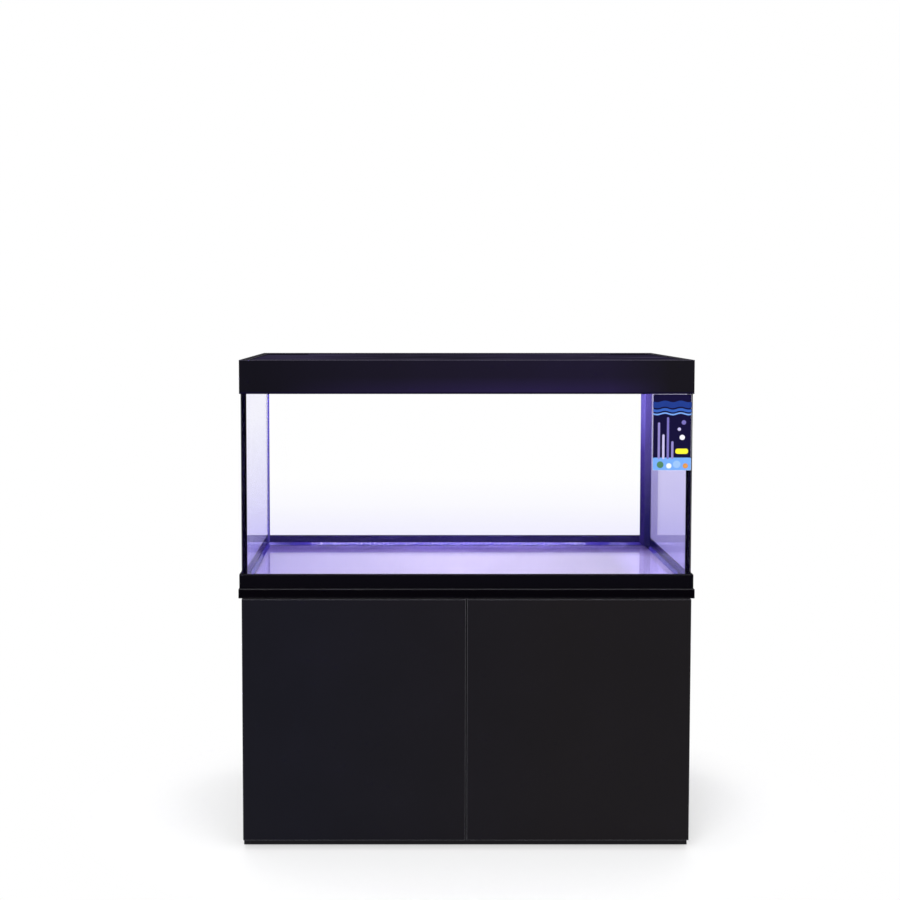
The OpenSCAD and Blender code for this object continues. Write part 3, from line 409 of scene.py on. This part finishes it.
board_carcass = melamine("melamine_carcass", dark="#0b0a0f", light="#0e0d12", rough=0.16, shine=0.12,
                         wave_deep=0.008)
# The top board's edges carry a brighter painted highlight.
board_top = melamine("melamine_top", dark="#040306", light="#060508", rough=0.26, shine=0.0,
                     wave_deep=0.01, edge_mm=1.2, edge="#6a696e")
foam = closed_cell_foam()
steel_bright = plated_steel("steel_nickel_plated", colour="#c3c5ca", worn="#aeb0b6", rough=0.22,
                            drawn=(1, 0.08, 1))
steel_pins = plated_steel("steel_pin_ground", colour="#b5b7bc", worn="#9fa1a7", rough=0.18,
                          drawn=(1, 1, 0.1))
zinc = die_cast_zinc()
wire = spring_wire()
aluminium = anodised_aluminium()
acrylic = clear_acrylic()
circuit = solder_mask()
nylon_white = moulded_nylon("nylon_white_moulded", dark="#e4e2dc", light="#eeece7")
nylon_black = moulded_abs("nylon_black_moulded", dark="#0d0d10", light="#141418", grain_mm=2.0,
                          grain_deep=0.04, rough=0.4, shine=0.2, edge_mm=0.5)
beech = turned_beech()

dress(glass_clear, "bottom_glass", "front_glass", "rear_glass", "front_brace", "rear_brace")
dress(glass_left, "left_glass")
dress(glass_right, "right_glass")
dress(silicone, "silicone_seams")
dress(abs_hood, "hood_frame", "lid_frame", "hood_seat", "hood_gussets")
dress(abs_lid, "rear_deck", "front_lid")
dress(abs_trim, "base_trim")
dress(abs_duct, "cable_channel")
dress(foam, "foam_mat")
dress(board_doors, "left_door", "right_door")
dress(board_carcass, "left_side", "right_side", "divider", "floor_board", "left_back", "right_back",
      "shelf")
dress(board_top, "cabinet_top")
dress(steel_bright, "left_hinge_cups", "right_hinge_cups", "left_hinge_arms", "right_hinge_arms",
      "hinge_plates", "left_strike", "right_strike")
dress(steel_pins, "left_hinge_pins", "right_hinge_pins", "lid_hinge_pins", "shelf_pins")
dress(zinc, "cam_locks", "cam_bolts")
dress(wire, "latch_springs")
dress(aluminium, "light_housing", "light_brackets")
dress(acrylic, "light_lens")
dress(circuit, "light_board")
dress(nylon_white, "left_latch", "right_latch", "left_plunger", "right_plunger")
dress(nylon_black, "floor_glides", "light_end_caps")
dress(beech, "dowels")


# ---- Making pieces ----

def new_piece(name, mesh, material, body):
    """A finished piece at the origin that rides on a body."""
    piece = bpy.data.objects.new(name, mesh)
    bpy.context.scene.collection.objects.link(piece)
    if material:
        mesh.materials.clear()
        mesh.materials.append(material)
    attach(piece, body)
    return piece


def closed_mesh(name, bm, outwards=True):
    """A mesh from the built form, its faces turned outwards."""
    if outwards:
        bmesh.ops.recalc_face_normals(bm, faces=bm.faces)
    mesh = bpy.data.meshes.new(name)
    bm.to_mesh(mesh)
    bm.free()
    return mesh


def points_mesh(name, rows):
    """Points in millimetres with the direction that each one faces."""
    mesh = bpy.data.meshes.new(name)
    mesh.from_pydata([[c * MM for c in place] for place, facing in rows], [], [])
    facing = mesh.attributes.new("facing", "FLOAT_VECTOR", "POINT")
    facing.data.foreach_set("vector", [c for place, way in rows for c in way])
    return mesh


def socket_named(tree, name):
    """The identifier of a tree's input."""
    return next(s.identifier for s in tree.interface.items_tree if s.name == name and s.in_out == "INPUT")


def grown(name, tree, mesh, material, body, slot_name, **sizes):
    """Runs a geometry tree on a mesh and keeps what it makes as a plain piece."""
    seed = bpy.data.objects.new(name + "_points", mesh)
    bpy.context.scene.collection.objects.link(seed)
    growth = seed.modifiers.new("growth", "NODES")
    growth.node_group = tree
    growth[socket_named(tree, "Material")] = material
    for size, value in sizes.items():
        growth[socket_named(tree, size.replace("_", " "))] = value
    evaluated = seed.evaluated_get(bpy.context.evaluated_depsgraph_get())
    made = bpy.data.meshes.new_from_object(evaluated)
    seed.modifiers.remove(growth)
    bpy.data.objects.remove(seed)
    made.name = name
    return new_piece(name, made, None, body)


def new_tree(name, **inputs):
    """An empty geometry tree with its named inputs."""
    tree = bpy.data.node_groups.new(name, "GeometryNodeTree")
    face = tree.interface
    face.new_socket("Geometry", in_out="OUTPUT", socket_type="NodeSocketGeometry")
    face.new_socket("Geometry", in_out="INPUT", socket_type="NodeSocketGeometry")
    face.new_socket("Material", in_out="INPUT", socket_type="NodeSocketMaterial")
    for label, default in inputs.items():
        kind = "NodeSocketInt" if isinstance(default, int) else "NodeSocketFloat"
        face.new_socket(label.replace("_", " "), in_out="INPUT", socket_type=kind).default_value = default
    return tree, add(tree, "NodeGroupInput").outputs


def end_tree(tree, geometry, material):
    """Real geometry with its material at the end of a tree."""
    real = add(tree, "GeometryNodeRealizeInstances", {0: geometry}).outputs[0]
    finished = add(tree, "GeometryNodeSetMaterial", {"Geometry": real, "Material": material}).outputs[0]
    add(tree, "NodeGroupOutput", {0: finished})


def screw_heads_tree():
    """Pan heads with a cross recess, one at each point, facing the way the point says."""
    tree, given = new_tree("screw_heads", Radius=4 * MM, Height=1 * MM, Slot=0.9 * MM, Depth=0.6 * MM, Seed=3)
    head = add(tree, "GeometryNodeMeshCone", {
        "Vertices": 20, "Radius Top": add(tree, "ShaderNodeMath", {0: given["Radius"], 1: 0.72},
                                          operation="MULTIPLY").outputs[0],
        "Radius Bottom": given["Radius"], "Depth": given["Height"],
    }).outputs[0]
    reach = add(tree, "ShaderNodeMath", {0: given["Radius"], 1: 1.1}, operation="MULTIPLY").outputs[0]
    twice_deep = add(tree, "ShaderNodeMath", {0: given["Depth"], 1: 2.0}, operation="MULTIPLY").outputs[0]
    lift = add(tree, "ShaderNodeCombineXYZ", {2: given["Height"]}).outputs[0]
    for first, second in ((reach, given["Slot"]), (given["Slot"], reach)):
        size = add(tree, "ShaderNodeCombineXYZ", {0: first, 1: second, 2: twice_deep}).outputs[0]
        bar = add(tree, "GeometryNodeMeshCube", {"Size": size}).outputs[0]
        bar = add(tree, "GeometryNodeTransform", {"Geometry": bar, "Translation": lift}).outputs[0]
        head = add(tree, "GeometryNodeMeshBoolean", {"Mesh 1": head, "Mesh 2": bar},
                   operation="DIFFERENCE").outputs[0]
    facing = add(tree, "GeometryNodeInputNamedAttribute", {"Name": "facing"},
                 data_type="FLOAT_VECTOR").outputs[0]
    turned = add(tree, "FunctionNodeAlignRotationToVector", {"Vector": facing}, axis="Z").outputs[0]
    placed = add(tree, "GeometryNodeInstanceOnPoints", {
        "Points": given["Geometry"], "Instance": head, "Rotation": turned}).outputs[0]
    twist = add(tree, "FunctionNodeRandomValue", {2: 0.0, 3: math.pi, "Seed": given["Seed"]}).outputs[1]
    spin = add(tree, "ShaderNodeCombineXYZ", {2: twist}).outputs[0]
    placed = add(tree, "GeometryNodeRotateInstances", {"Instances": placed, "Rotation": spin}).outputs[0]
    end_tree(tree, placed, given["Material"])
    return tree


def diode_tree():
    """Rows of small domed diodes along a strip, lens side down."""
    tree, given = new_tree("diode_rows", Length=1.0, Width=0.02, Across=2, Along=62, Radius=1.6 * MM)
    rows = add(tree, "GeometryNodeMeshGrid", {
        "Size X": given["Length"], "Size Y": given["Width"],
        "Vertices X": given["Along"], "Vertices Y": given["Across"]}).outputs[0]
    middle = add(tree, "GeometryNodeInputPosition").outputs[0]
    start = add(tree, "GeometryNodeSampleIndex", {"Geometry": given["Geometry"], "Value": middle, "Index": 0},
                data_type="FLOAT_VECTOR").outputs[0]
    rows = add(tree, "GeometryNodeTransform", {"Geometry": rows, "Translation": start}).outputs[0]
    dome = add(tree, "GeometryNodeMeshUVSphere", {
        "Segments": 10, "Rings": 6, "Radius": given["Radius"]}).outputs[0]
    placed = add(tree, "GeometryNodeInstanceOnPoints", {
        "Points": rows, "Instance": dome, "Scale": (1, 1, 0.5)}).outputs[0]
    end_tree(tree, placed, given["Material"])
    return tree


# ---- Screws, diodes and lock faces ----

screws = screw_heads_tree()
HINGE_HEIGHTS = (137, 572)
CUP_X, EAR_RISE, EAR_FACE = 576.5, 24, -193.8
PLATE_FACE, PLATE_SCREW_Y, PLATE_RISE = 582, -156, 22
ARM_FACE, ARM_SCREWS_Y = 572, (-178, -152)
LATCH_FACE, LATCH_SCREW_Y, LATCH_Z, LATCH_RISE = 10.5, -152.5, 600, 11
CAM_Z, CAM_YS = 661, (-92, 108)

for door, side in ((LEFT_DOOR, -1), (RIGHT_DOOR, 1)):
    ears = [((side * CUP_X, EAR_FACE + 0.4, z + rise), (0, 1, 0))
            for z in HINGE_HEIGHTS for rise in (-EAR_RISE, EAR_RISE)]
    grown(door + "_cup_screws", screws, points_mesh("ears", ears), steel_bright, door, "bright_steel",
          Radius=3.6 * MM, Height=0.9 * MM, Slot=0.8 * MM, Depth=0.5 * MM)

fixed_rows = []
for side in (-1, 1):
    inward = (-side, 0, 0)
    for z in HINGE_HEIGHTS:
        fixed_rows += [((side * PLATE_FACE, PLATE_SCREW_Y, z + rise), inward)
                       for rise in (-PLATE_RISE, PLATE_RISE)]
        fixed_rows += [((side * ARM_FACE, y, z), inward) for y in ARM_SCREWS_Y]
    fixed_rows += [((side * LATCH_FACE, LATCH_SCREW_Y, LATCH_Z + rise), (side, 0, 0))
                   for rise in (-LATCH_RISE, LATCH_RISE)]
grown("cabinet_screws", screws, points_mesh("fixed", fixed_rows), steel_bright, CABINET, "bright_steel",
      Radius=3.4 * MM, Height=1.1 * MM, Slot=0.8 * MM, Depth=0.6 * MM, Seed=8)

cam_rows = [((x, y, CAM_Z), way) for x, way in ((-584, (1, 0, 0)), (-8, (-1, 0, 0)), (584, (-1, 0, 0)))
            for y in CAM_YS]
grown("cam_lock_faces", screws, points_mesh("cams", cam_rows), zinc, CABINET, "zinc",
      Radius=7.2 * MM, Height=0.5 * MM, Slot=1.6 * MM, Depth=0.4 * MM, Seed=5)


def lit_phosphor():
    """Phosphor-coated diode under its silicone dome: cool white, lit, brightest in its middle."""
    made, tree, shader, place = start_material("diode_phosphor_lit", IOR=1.41, Emission_Strength=400.0)
    finish(tree, shader, place, ("#d8d2ff", "#ffffff"), cloud_mm=0.6, grain_mm=0.6, rough=(0.1, 0.2),
           deep_mm=0.0)
    lit = add(tree, "ShaderNodeTexNoise", {"Vector": place, "Scale": 1 / (0.6 * MM)}).outputs["Fac"]
    glow = add(tree, "ShaderNodeMix", {"Factor": lit, 6: linear("#c9bfff"), 7: linear("#f6f3ff")},
               data_type="RGBA").outputs[2]
    tree.links.new(glow, shader.inputs["Emission Color"])
    return made


DIODE_ENDS, DIODE_WIDTH, DIODE_RADIUS = 14 * MM, 18 * MM, 2.8 * MM
board_low, board_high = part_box("light_board")
lamp_mid_y = (board_low[1] + board_high[1]) / 2
diode_start = points_mesh("strip", [((0, lamp_mid_y / MM, board_low[2] / MM), (0, 0, -1))])
grown("led_diodes", diode_tree(), diode_start, lit_phosphor(), CABINET, "led_board",
      Length=board_high[0] - board_low[0] - DIODE_ENDS, Width=DIODE_WIDTH, Radius=DIODE_RADIUS)


# ---- Silicone beads ----

def swept(bm, outline, start, end, inward, upward):
    """A closed prism of that outline between two points; outline goes inward and upward."""
    rings = []
    for place in (start, end):
        rings.append([bm.verts.new(Vector(place) + Vector(inward) * u + Vector(upward) * v)
                      for u, v in outline])
    count = len(outline)
    for i in range(count):
        bm.faces.new((rings[0][i], rings[0][(i + 1) % count], rings[1][(i + 1) % count], rings[1][i]))
    bm.faces.new(rings[0][::-1])
    bm.faces.new(rings[1])


def bead_outline(across, up, hollow, steps=10):
    """A corner bead whose tooled face sinks in the middle by the hollow's depth."""
    face = [(across * (1 - t), up * t, 4 * t * (1 - t) * hollow)
            for t in (i / steps for i in range(steps + 1))]
    return [(0, 0)] + [(u - sunk, v - sunk) for u, v, sunk in face]


def bead_mesh():
    """Beads up the four corners and round the bottom, with the joints between the panes."""
    joint, slip, clear = 1 * MM, 0.15 * MM, 0.05 * MM
    corner_bead = bead_outline(across=4 * MM, up=4 * MM, hollow=0.8 * MM)
    foot_bead = bead_outline(across=7 * MM, up=7 * MM, hollow=0.004 * MM)
    front_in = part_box("front_glass")[1][1]
    rear_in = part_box("rear_glass")[0][1]
    left_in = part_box("left_glass")[1][0]
    right_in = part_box("right_glass")[0][0]
    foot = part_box("front_glass")[0][2] + slip
    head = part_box("front_glass")[1][2] - slip
    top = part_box("front_brace")[0][2] - slip
    floor_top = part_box("bottom_glass")[1][2]
    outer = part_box("front_glass")[1][0] - slip
    sides, panes = ((1, left_in), (-1, right_in)), ((1, front_in), (-1, rear_in))
    corners = [(x, side_in, y, pane_in) for x, side_in in sides for y, pane_in in panes]
    bm = bmesh.new()
    for x, side_in, y, pane_in in corners:
        near, far = sorted((-outer * x, side_in))
        start, end = sorted((pane_in + clear * y, pane_in + joint * y - clear * y))
        swept(bm, [(0, 0), (far - near, 0), (far - near, end - start), (0, end - start)],
              (near, start, foot), (near, start, head), (1, 0, 0), (0, 1, 0))
    joints_end = len(bm.faces)
    for x, side_in, y, pane_in in corners:
        swept(bm, corner_bead, (side_in, pane_in, floor_top), (side_in, pane_in, top),
              (x, 0, 0), (0, y, 0))
    corners_end = len(bm.faces)
    for x, side_in in sides:
        swept(bm, foot_bead, (side_in, front_in, floor_top), (side_in, rear_in, floor_top),
              (x, 0, 0), (0, 0, 1))
    for y, pane_in in panes:
        swept(bm, foot_bead, (left_in, pane_in, floor_top), (right_in, pane_in, floor_top),
              (0, y, 0), (0, 0, 1))
    for i, face in enumerate(bm.faces):
        face.material_index = 1 if i < joints_end else 0 if i < corners_end else 2
    mesh = closed_mesh("silicone_beads", bm)
    mesh.materials.append(silicone)
    mesh.materials.append(silicone_pressed)
    mesh.materials.append(silicone_foot)
    mesh.shade_smooth()
    mesh.set_sharp_from_angle(angle=math.radians(30))
    return mesh


beads = new_piece("silicone_beads", bead_mesh(), None, CABINET)
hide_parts("silicone_seams")


# ---- Cable duct ----

DUCT_X, DUCT_DEEP = 569.4, 48.6
DUCT_SLIP, DUCT_BEAD, DUCT_EDGE, DUCT_FOOT = 0.3, 4.4, 1.2, 7.3


def duct_mesh():
    """The duct in the rear right corner: against the two panes, clear of the beads, with softened edges."""
    slip, bead, edge = DUCT_SLIP, DUCT_BEAD, DUCT_EDGE
    eased = 0.3 * edge
    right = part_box("right_glass")[0][0] / MM - slip
    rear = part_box("rear_glass")[0][1] / MM - slip
    front = rear - DUCT_DEEP
    outline = [(DUCT_X, rear), (DUCT_X, front + edge), (DUCT_X + eased, front + eased),
               (DUCT_X + edge, front), (right - edge, front), (right - eased, front + eased),
               (right, front + edge), (right, rear - bead), (right - bead, rear)]
    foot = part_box("bottom_glass")[1][2] + DUCT_FOOT * MM
    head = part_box("rear_brace")[0][2] - slip * MM
    bm = bmesh.new()
    swept(bm, [(x * MM, y * MM) for x, y in outline], (0, 0, foot), (0, 0, head), (1, 0, 0), (0, 1, 0))
    return closed_mesh("cable_duct", bm)


duct = new_piece("cable_duct", duct_mesh(), abs_duct, CABINET)
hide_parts("cable_channel")


# ---- Foam mat ----

MAT_THINNER, MAT_LIFT, MAT_EDGE = 0.3 * MM, 0.05 * MM, 0.8 * MM


def mat_mesh():
    """The mat with softened edges, a hair below the glass that lies on it."""
    low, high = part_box("foam_mat")
    bm = bmesh.new()
    size = (high[0] - low[0], high[1] - low[1], high[2] - low[2] - MAT_THINNER)
    middle = ((high[0] + low[0]) / 2, (high[1] + low[1]) / 2, low[2] + MAT_LIFT + size[2] / 2)
    bmesh.ops.create_cube(bm, size=1, matrix=Matrix.Translation(middle) @ Matrix.Diagonal((*size, 1)))
    bmesh.ops.bevel(bm, geom=bm.edges[:], offset=MAT_EDGE, segments=3, affect="EDGES")
    return closed_mesh("foam_mat_sheet", bm, outwards=False)


mat_piece = new_piece("foam_mat_sheet", mat_mesh(), foam, CABINET)
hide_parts("foam_mat")


# ---- Label on the front glass ----

LABEL_X, LABEL_Z = (495, 597), (1026, 1229)
SHEET_RISE, SHEET_UNDER = 0.15, 0.02
INK_RISE, INK_STEP, INK_UNDER = 0.17, 0.01, 0.14
LABEL_CORNER, INK_MARGIN, INK_CORNER = 3, 0.4, 2.8
WAVE_RISE, WAVE_BEND, WAVE_STEPS = 2.2, 0.15, 24
ROD_HALF, ROD_FOOT = 3, 30


def printed_label():
    """Offset-printed vinyl: flat inks on a thin white sheet, with the faint mottle of ink on plastic."""
    made, tree, shader, place = start_material("vinyl_printed", IOR=1.5, Specular_IOR_Level=0.05)
    ink = add(tree, "ShaderNodeAttribute", attribute_name="ink").outputs["Color"]
    thin = add(tree, "ShaderNodeHueSaturation", {"Color": ink, "Value": 0.82}).outputs[0]
    finish(tree, shader, place, (ink, thin), cloud_mm=9, grain_mm=4, rough=(0.32, 0.38), deep_mm=0.01)
    return made


def rounded(x0, x1, z0, z1, corner):
    """The outline of a block with rounded corners."""
    turns = [(cx, cz, math.radians(turn + 15 * i))
             for cx, cz, turn in ((x1 - corner, z1 - corner, 0), (x0 + corner, z1 - corner, 90),
                                  (x0 + corner, z0 + corner, 180), (x1 - corner, z0 + corner, 270))
             for i in range(7)]
    return [(cx + corner * math.cos(turn), cz + corner * math.sin(turn)) for cx, cz, turn in turns]


def wave(low, high, wide):
    """The outline of a wavy band across the sheet."""
    steps = [wide * i / WAVE_STEPS for i in range(WAVE_STEPS + 1)]
    rise = [WAVE_RISE * math.sin(WAVE_BEND * x) for x in steps]
    return ([(x, low - r) for x, r in zip(steps, rise)] +
            [(x, high - r) for x, r in zip(reversed(steps), reversed(rise))])


def label_mesh():
    """A thin sheet on the outside of the front pane, with each ink a hair over the one below it."""
    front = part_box("front_glass")[0][1] / MM
    wide, tall = LABEL_X[1] - LABEL_X[0], LABEL_Z[1] - LABEL_Z[0]
    inks = [("#0e0930", rounded(INK_MARGIN, wide - INK_MARGIN, INK_MARGIN, tall - INK_MARGIN, INK_CORNER))]
    inks += [(colour, wave(low, high, wide)) for low, high, colour in (
        (168, 184, "#1c357f"), (157, 164, "#3159ad"), (149, 153, "#6f97dc"))]
    inks += [("#6f9fe4", rounded(INK_MARGIN, wide - INK_MARGIN, INK_MARGIN, 34, INK_CORNER)),
             ("#ece233", rounded(60, 94, 44, 58, 6))]
    inks += [(colour, rounded(x - ROD_HALF, x + ROD_HALF, ROD_FOOT, z, ROD_HALF)) for x, z, colour in (
        (16, 128, "#857cb8"), (28, 96, "#b9b2dc"), (40, 142, "#6f67ad"), (52, 78, "#857cb8"))]
    inks += [(colour, rounded(x - r, x + r, z - r, z + r, r)) for x, z, r, colour in (
        (20, 15, 9, "#4c7a58"), (43, 12, 7, "#dfe6f6"), (64, 16, 10, "#8fb3ea"), (87, 12, 7, "#c98a4a"),
        (78, 88, 7, "#e4e1f2"), (70, 110, 4.5, "#b9b2dc"), (82, 128, 6, "#6f67ad"))]
    bm = bmesh.new()
    printed = bm.faces.layers.float_color.new("ink")
    layers = [("#d9d8e2", rounded(0, wide, 0, tall, LABEL_CORNER), SHEET_RISE, SHEET_UNDER)]
    layers += [(colour, outline, INK_RISE + INK_STEP * i, INK_UNDER)
               for i, (colour, outline) in enumerate(inks)]
    for colour, outline, rise, under in layers:
        done = len(bm.faces)
        swept(bm, [((LABEL_X[0] + u) * MM, (LABEL_Z[0] + v) * MM) for u, v in outline],
              (0, (front - rise) * MM, 0), (0, (front - under) * MM, 0), (1, 0, 0), (0, 0, 1))
        for face in list(bm.faces)[done:]:
            face[printed] = linear(colour)
    return closed_mesh("front_label", bm)


new_piece("front_label", label_mesh(), printed_label(), CABINET)


# ---- Floor, world and lights ----

def looked_at(tree):
    """1 for what is seen by eye, in a mirror or through glass, and 0 for what only lights the object."""
    seen = add(tree, "ShaderNodeLightPath").outputs
    straight = add(tree, "ShaderNodeMath", {0: seen["Is Camera Ray"], 1: seen["Is Transmission Ray"]},
                   operation="MAXIMUM").outputs[0]
    return add(tree, "ShaderNodeMath", {0: straight, 1: seen["Is Glossy Ray"]},
               operation="MAXIMUM").outputs[0]


def studio_floor():
    """Pale floor that keeps the shadow near the stand and runs out to plain white."""
    bm = bmesh.new()
    bmesh.ops.create_grid(bm, x_segments=1, y_segments=1, size=12)
    mesh = closed_mesh("floor", bm, outwards=False)
    floor = bpy.data.objects.new("floor", mesh)
    bpy.context.scene.collection.objects.link(floor)
    made, tree, shader, place = start_material("floor_paper", Roughness=0.9, Specular_IOR_Level=0.1)
    shader.inputs["Base Color"].default_value = linear("#f7f7f8")
    mesh.materials.append(made)
    oval = add(tree, "ShaderNodeVectorMath", {0: place, 1: (0.75, 1.6, 0)}, operation="MULTIPLY").outputs[0]
    away = add(tree, "ShaderNodeVectorMath", {0: oval}, operation="LENGTH").outputs[1]
    fade = add(tree, "ShaderNodeMapRange", {"Value": away, "From Min": 0.42, "From Max": 0.85},
               interpolation_type="SMOOTHSTEP").outputs[0]
    straight = looked_at(tree)
    paler = add(tree, "ShaderNodeMath", {0: fade, 1: 0.4}, operation="MAXIMUM").outputs[0]
    share = add(tree, "ShaderNodeMath", {0: paler, 1: straight}, operation="MULTIPLY").outputs[0]
    white = add(tree, "ShaderNodeEmission", {"Color": (1, 1, 1, 1), "Strength": 1.0}).outputs[0]
    mixed = add(tree, "ShaderNodeMixShader", {0: share, 1: shader.outputs[0], 2: white}).outputs[0]
    tree.links.new(mixed, tree.nodes["Material Output"].inputs["Surface"])


def studio_world(level):
    """White where it is looked at, in mirrors and through glass; a plain grey level as light."""
    world = bpy.data.worlds.new("studio")
    bpy.context.scene.world = world
    world.use_nodes = True
    tree = world.node_tree
    straight = looked_at(tree)
    strength = add(tree, "ShaderNodeMapRange", {"Value": straight, "To Min": level, "To Max": 1.0}).outputs[0]
    background = tree.nodes["Background"]
    background.inputs["Color"].default_value = (1, 1, 1, 1)
    tree.links.new(strength, background.inputs["Strength"])


def soft_light(name, place, aim, size, power, colour="#ffffff"):
    """A soft rectangular light that looks at a point."""
    data = bpy.data.lights.new(name, "AREA")
    data.shape = "RECTANGLE"
    data.size, data.size_y = size
    data.energy = power
    data.color = linear(colour)[:3]
    light = bpy.data.objects.new(name, data)
    light.location = place
    light.rotation_euler = (Vector(aim) - Vector(place)).to_track_quat("-Z", "Y").to_euler()
    light.visible_glossy = False
    light.visible_camera = False
    bpy.context.scene.collection.objects.link(light)


studio_floor()
studio_world(0.55)
soft_light("key", (-1.8, -3.2, 3.2), aim=(0, 0, 0.7), size=(2.4, 2.4), power=110)
soft_light("fill", (2.6, -2.6, 2.2), aim=(0, 0, 0.7), size=(2.4, 2.4), power=50)
soft_light("overhead", (0, 0.2, 4.0), aim=(0, 0, 0), size=(3.0, 2.0), power=70)
lens_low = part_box("light_lens")[0]
soft_light("lamp_glow", (0, lamp_mid_y, lens_low[2] - 3 * MM), aim=(0, lamp_mid_y, 0),
           size=(1.03, 0.036), power=20, colour="#d6cdff")
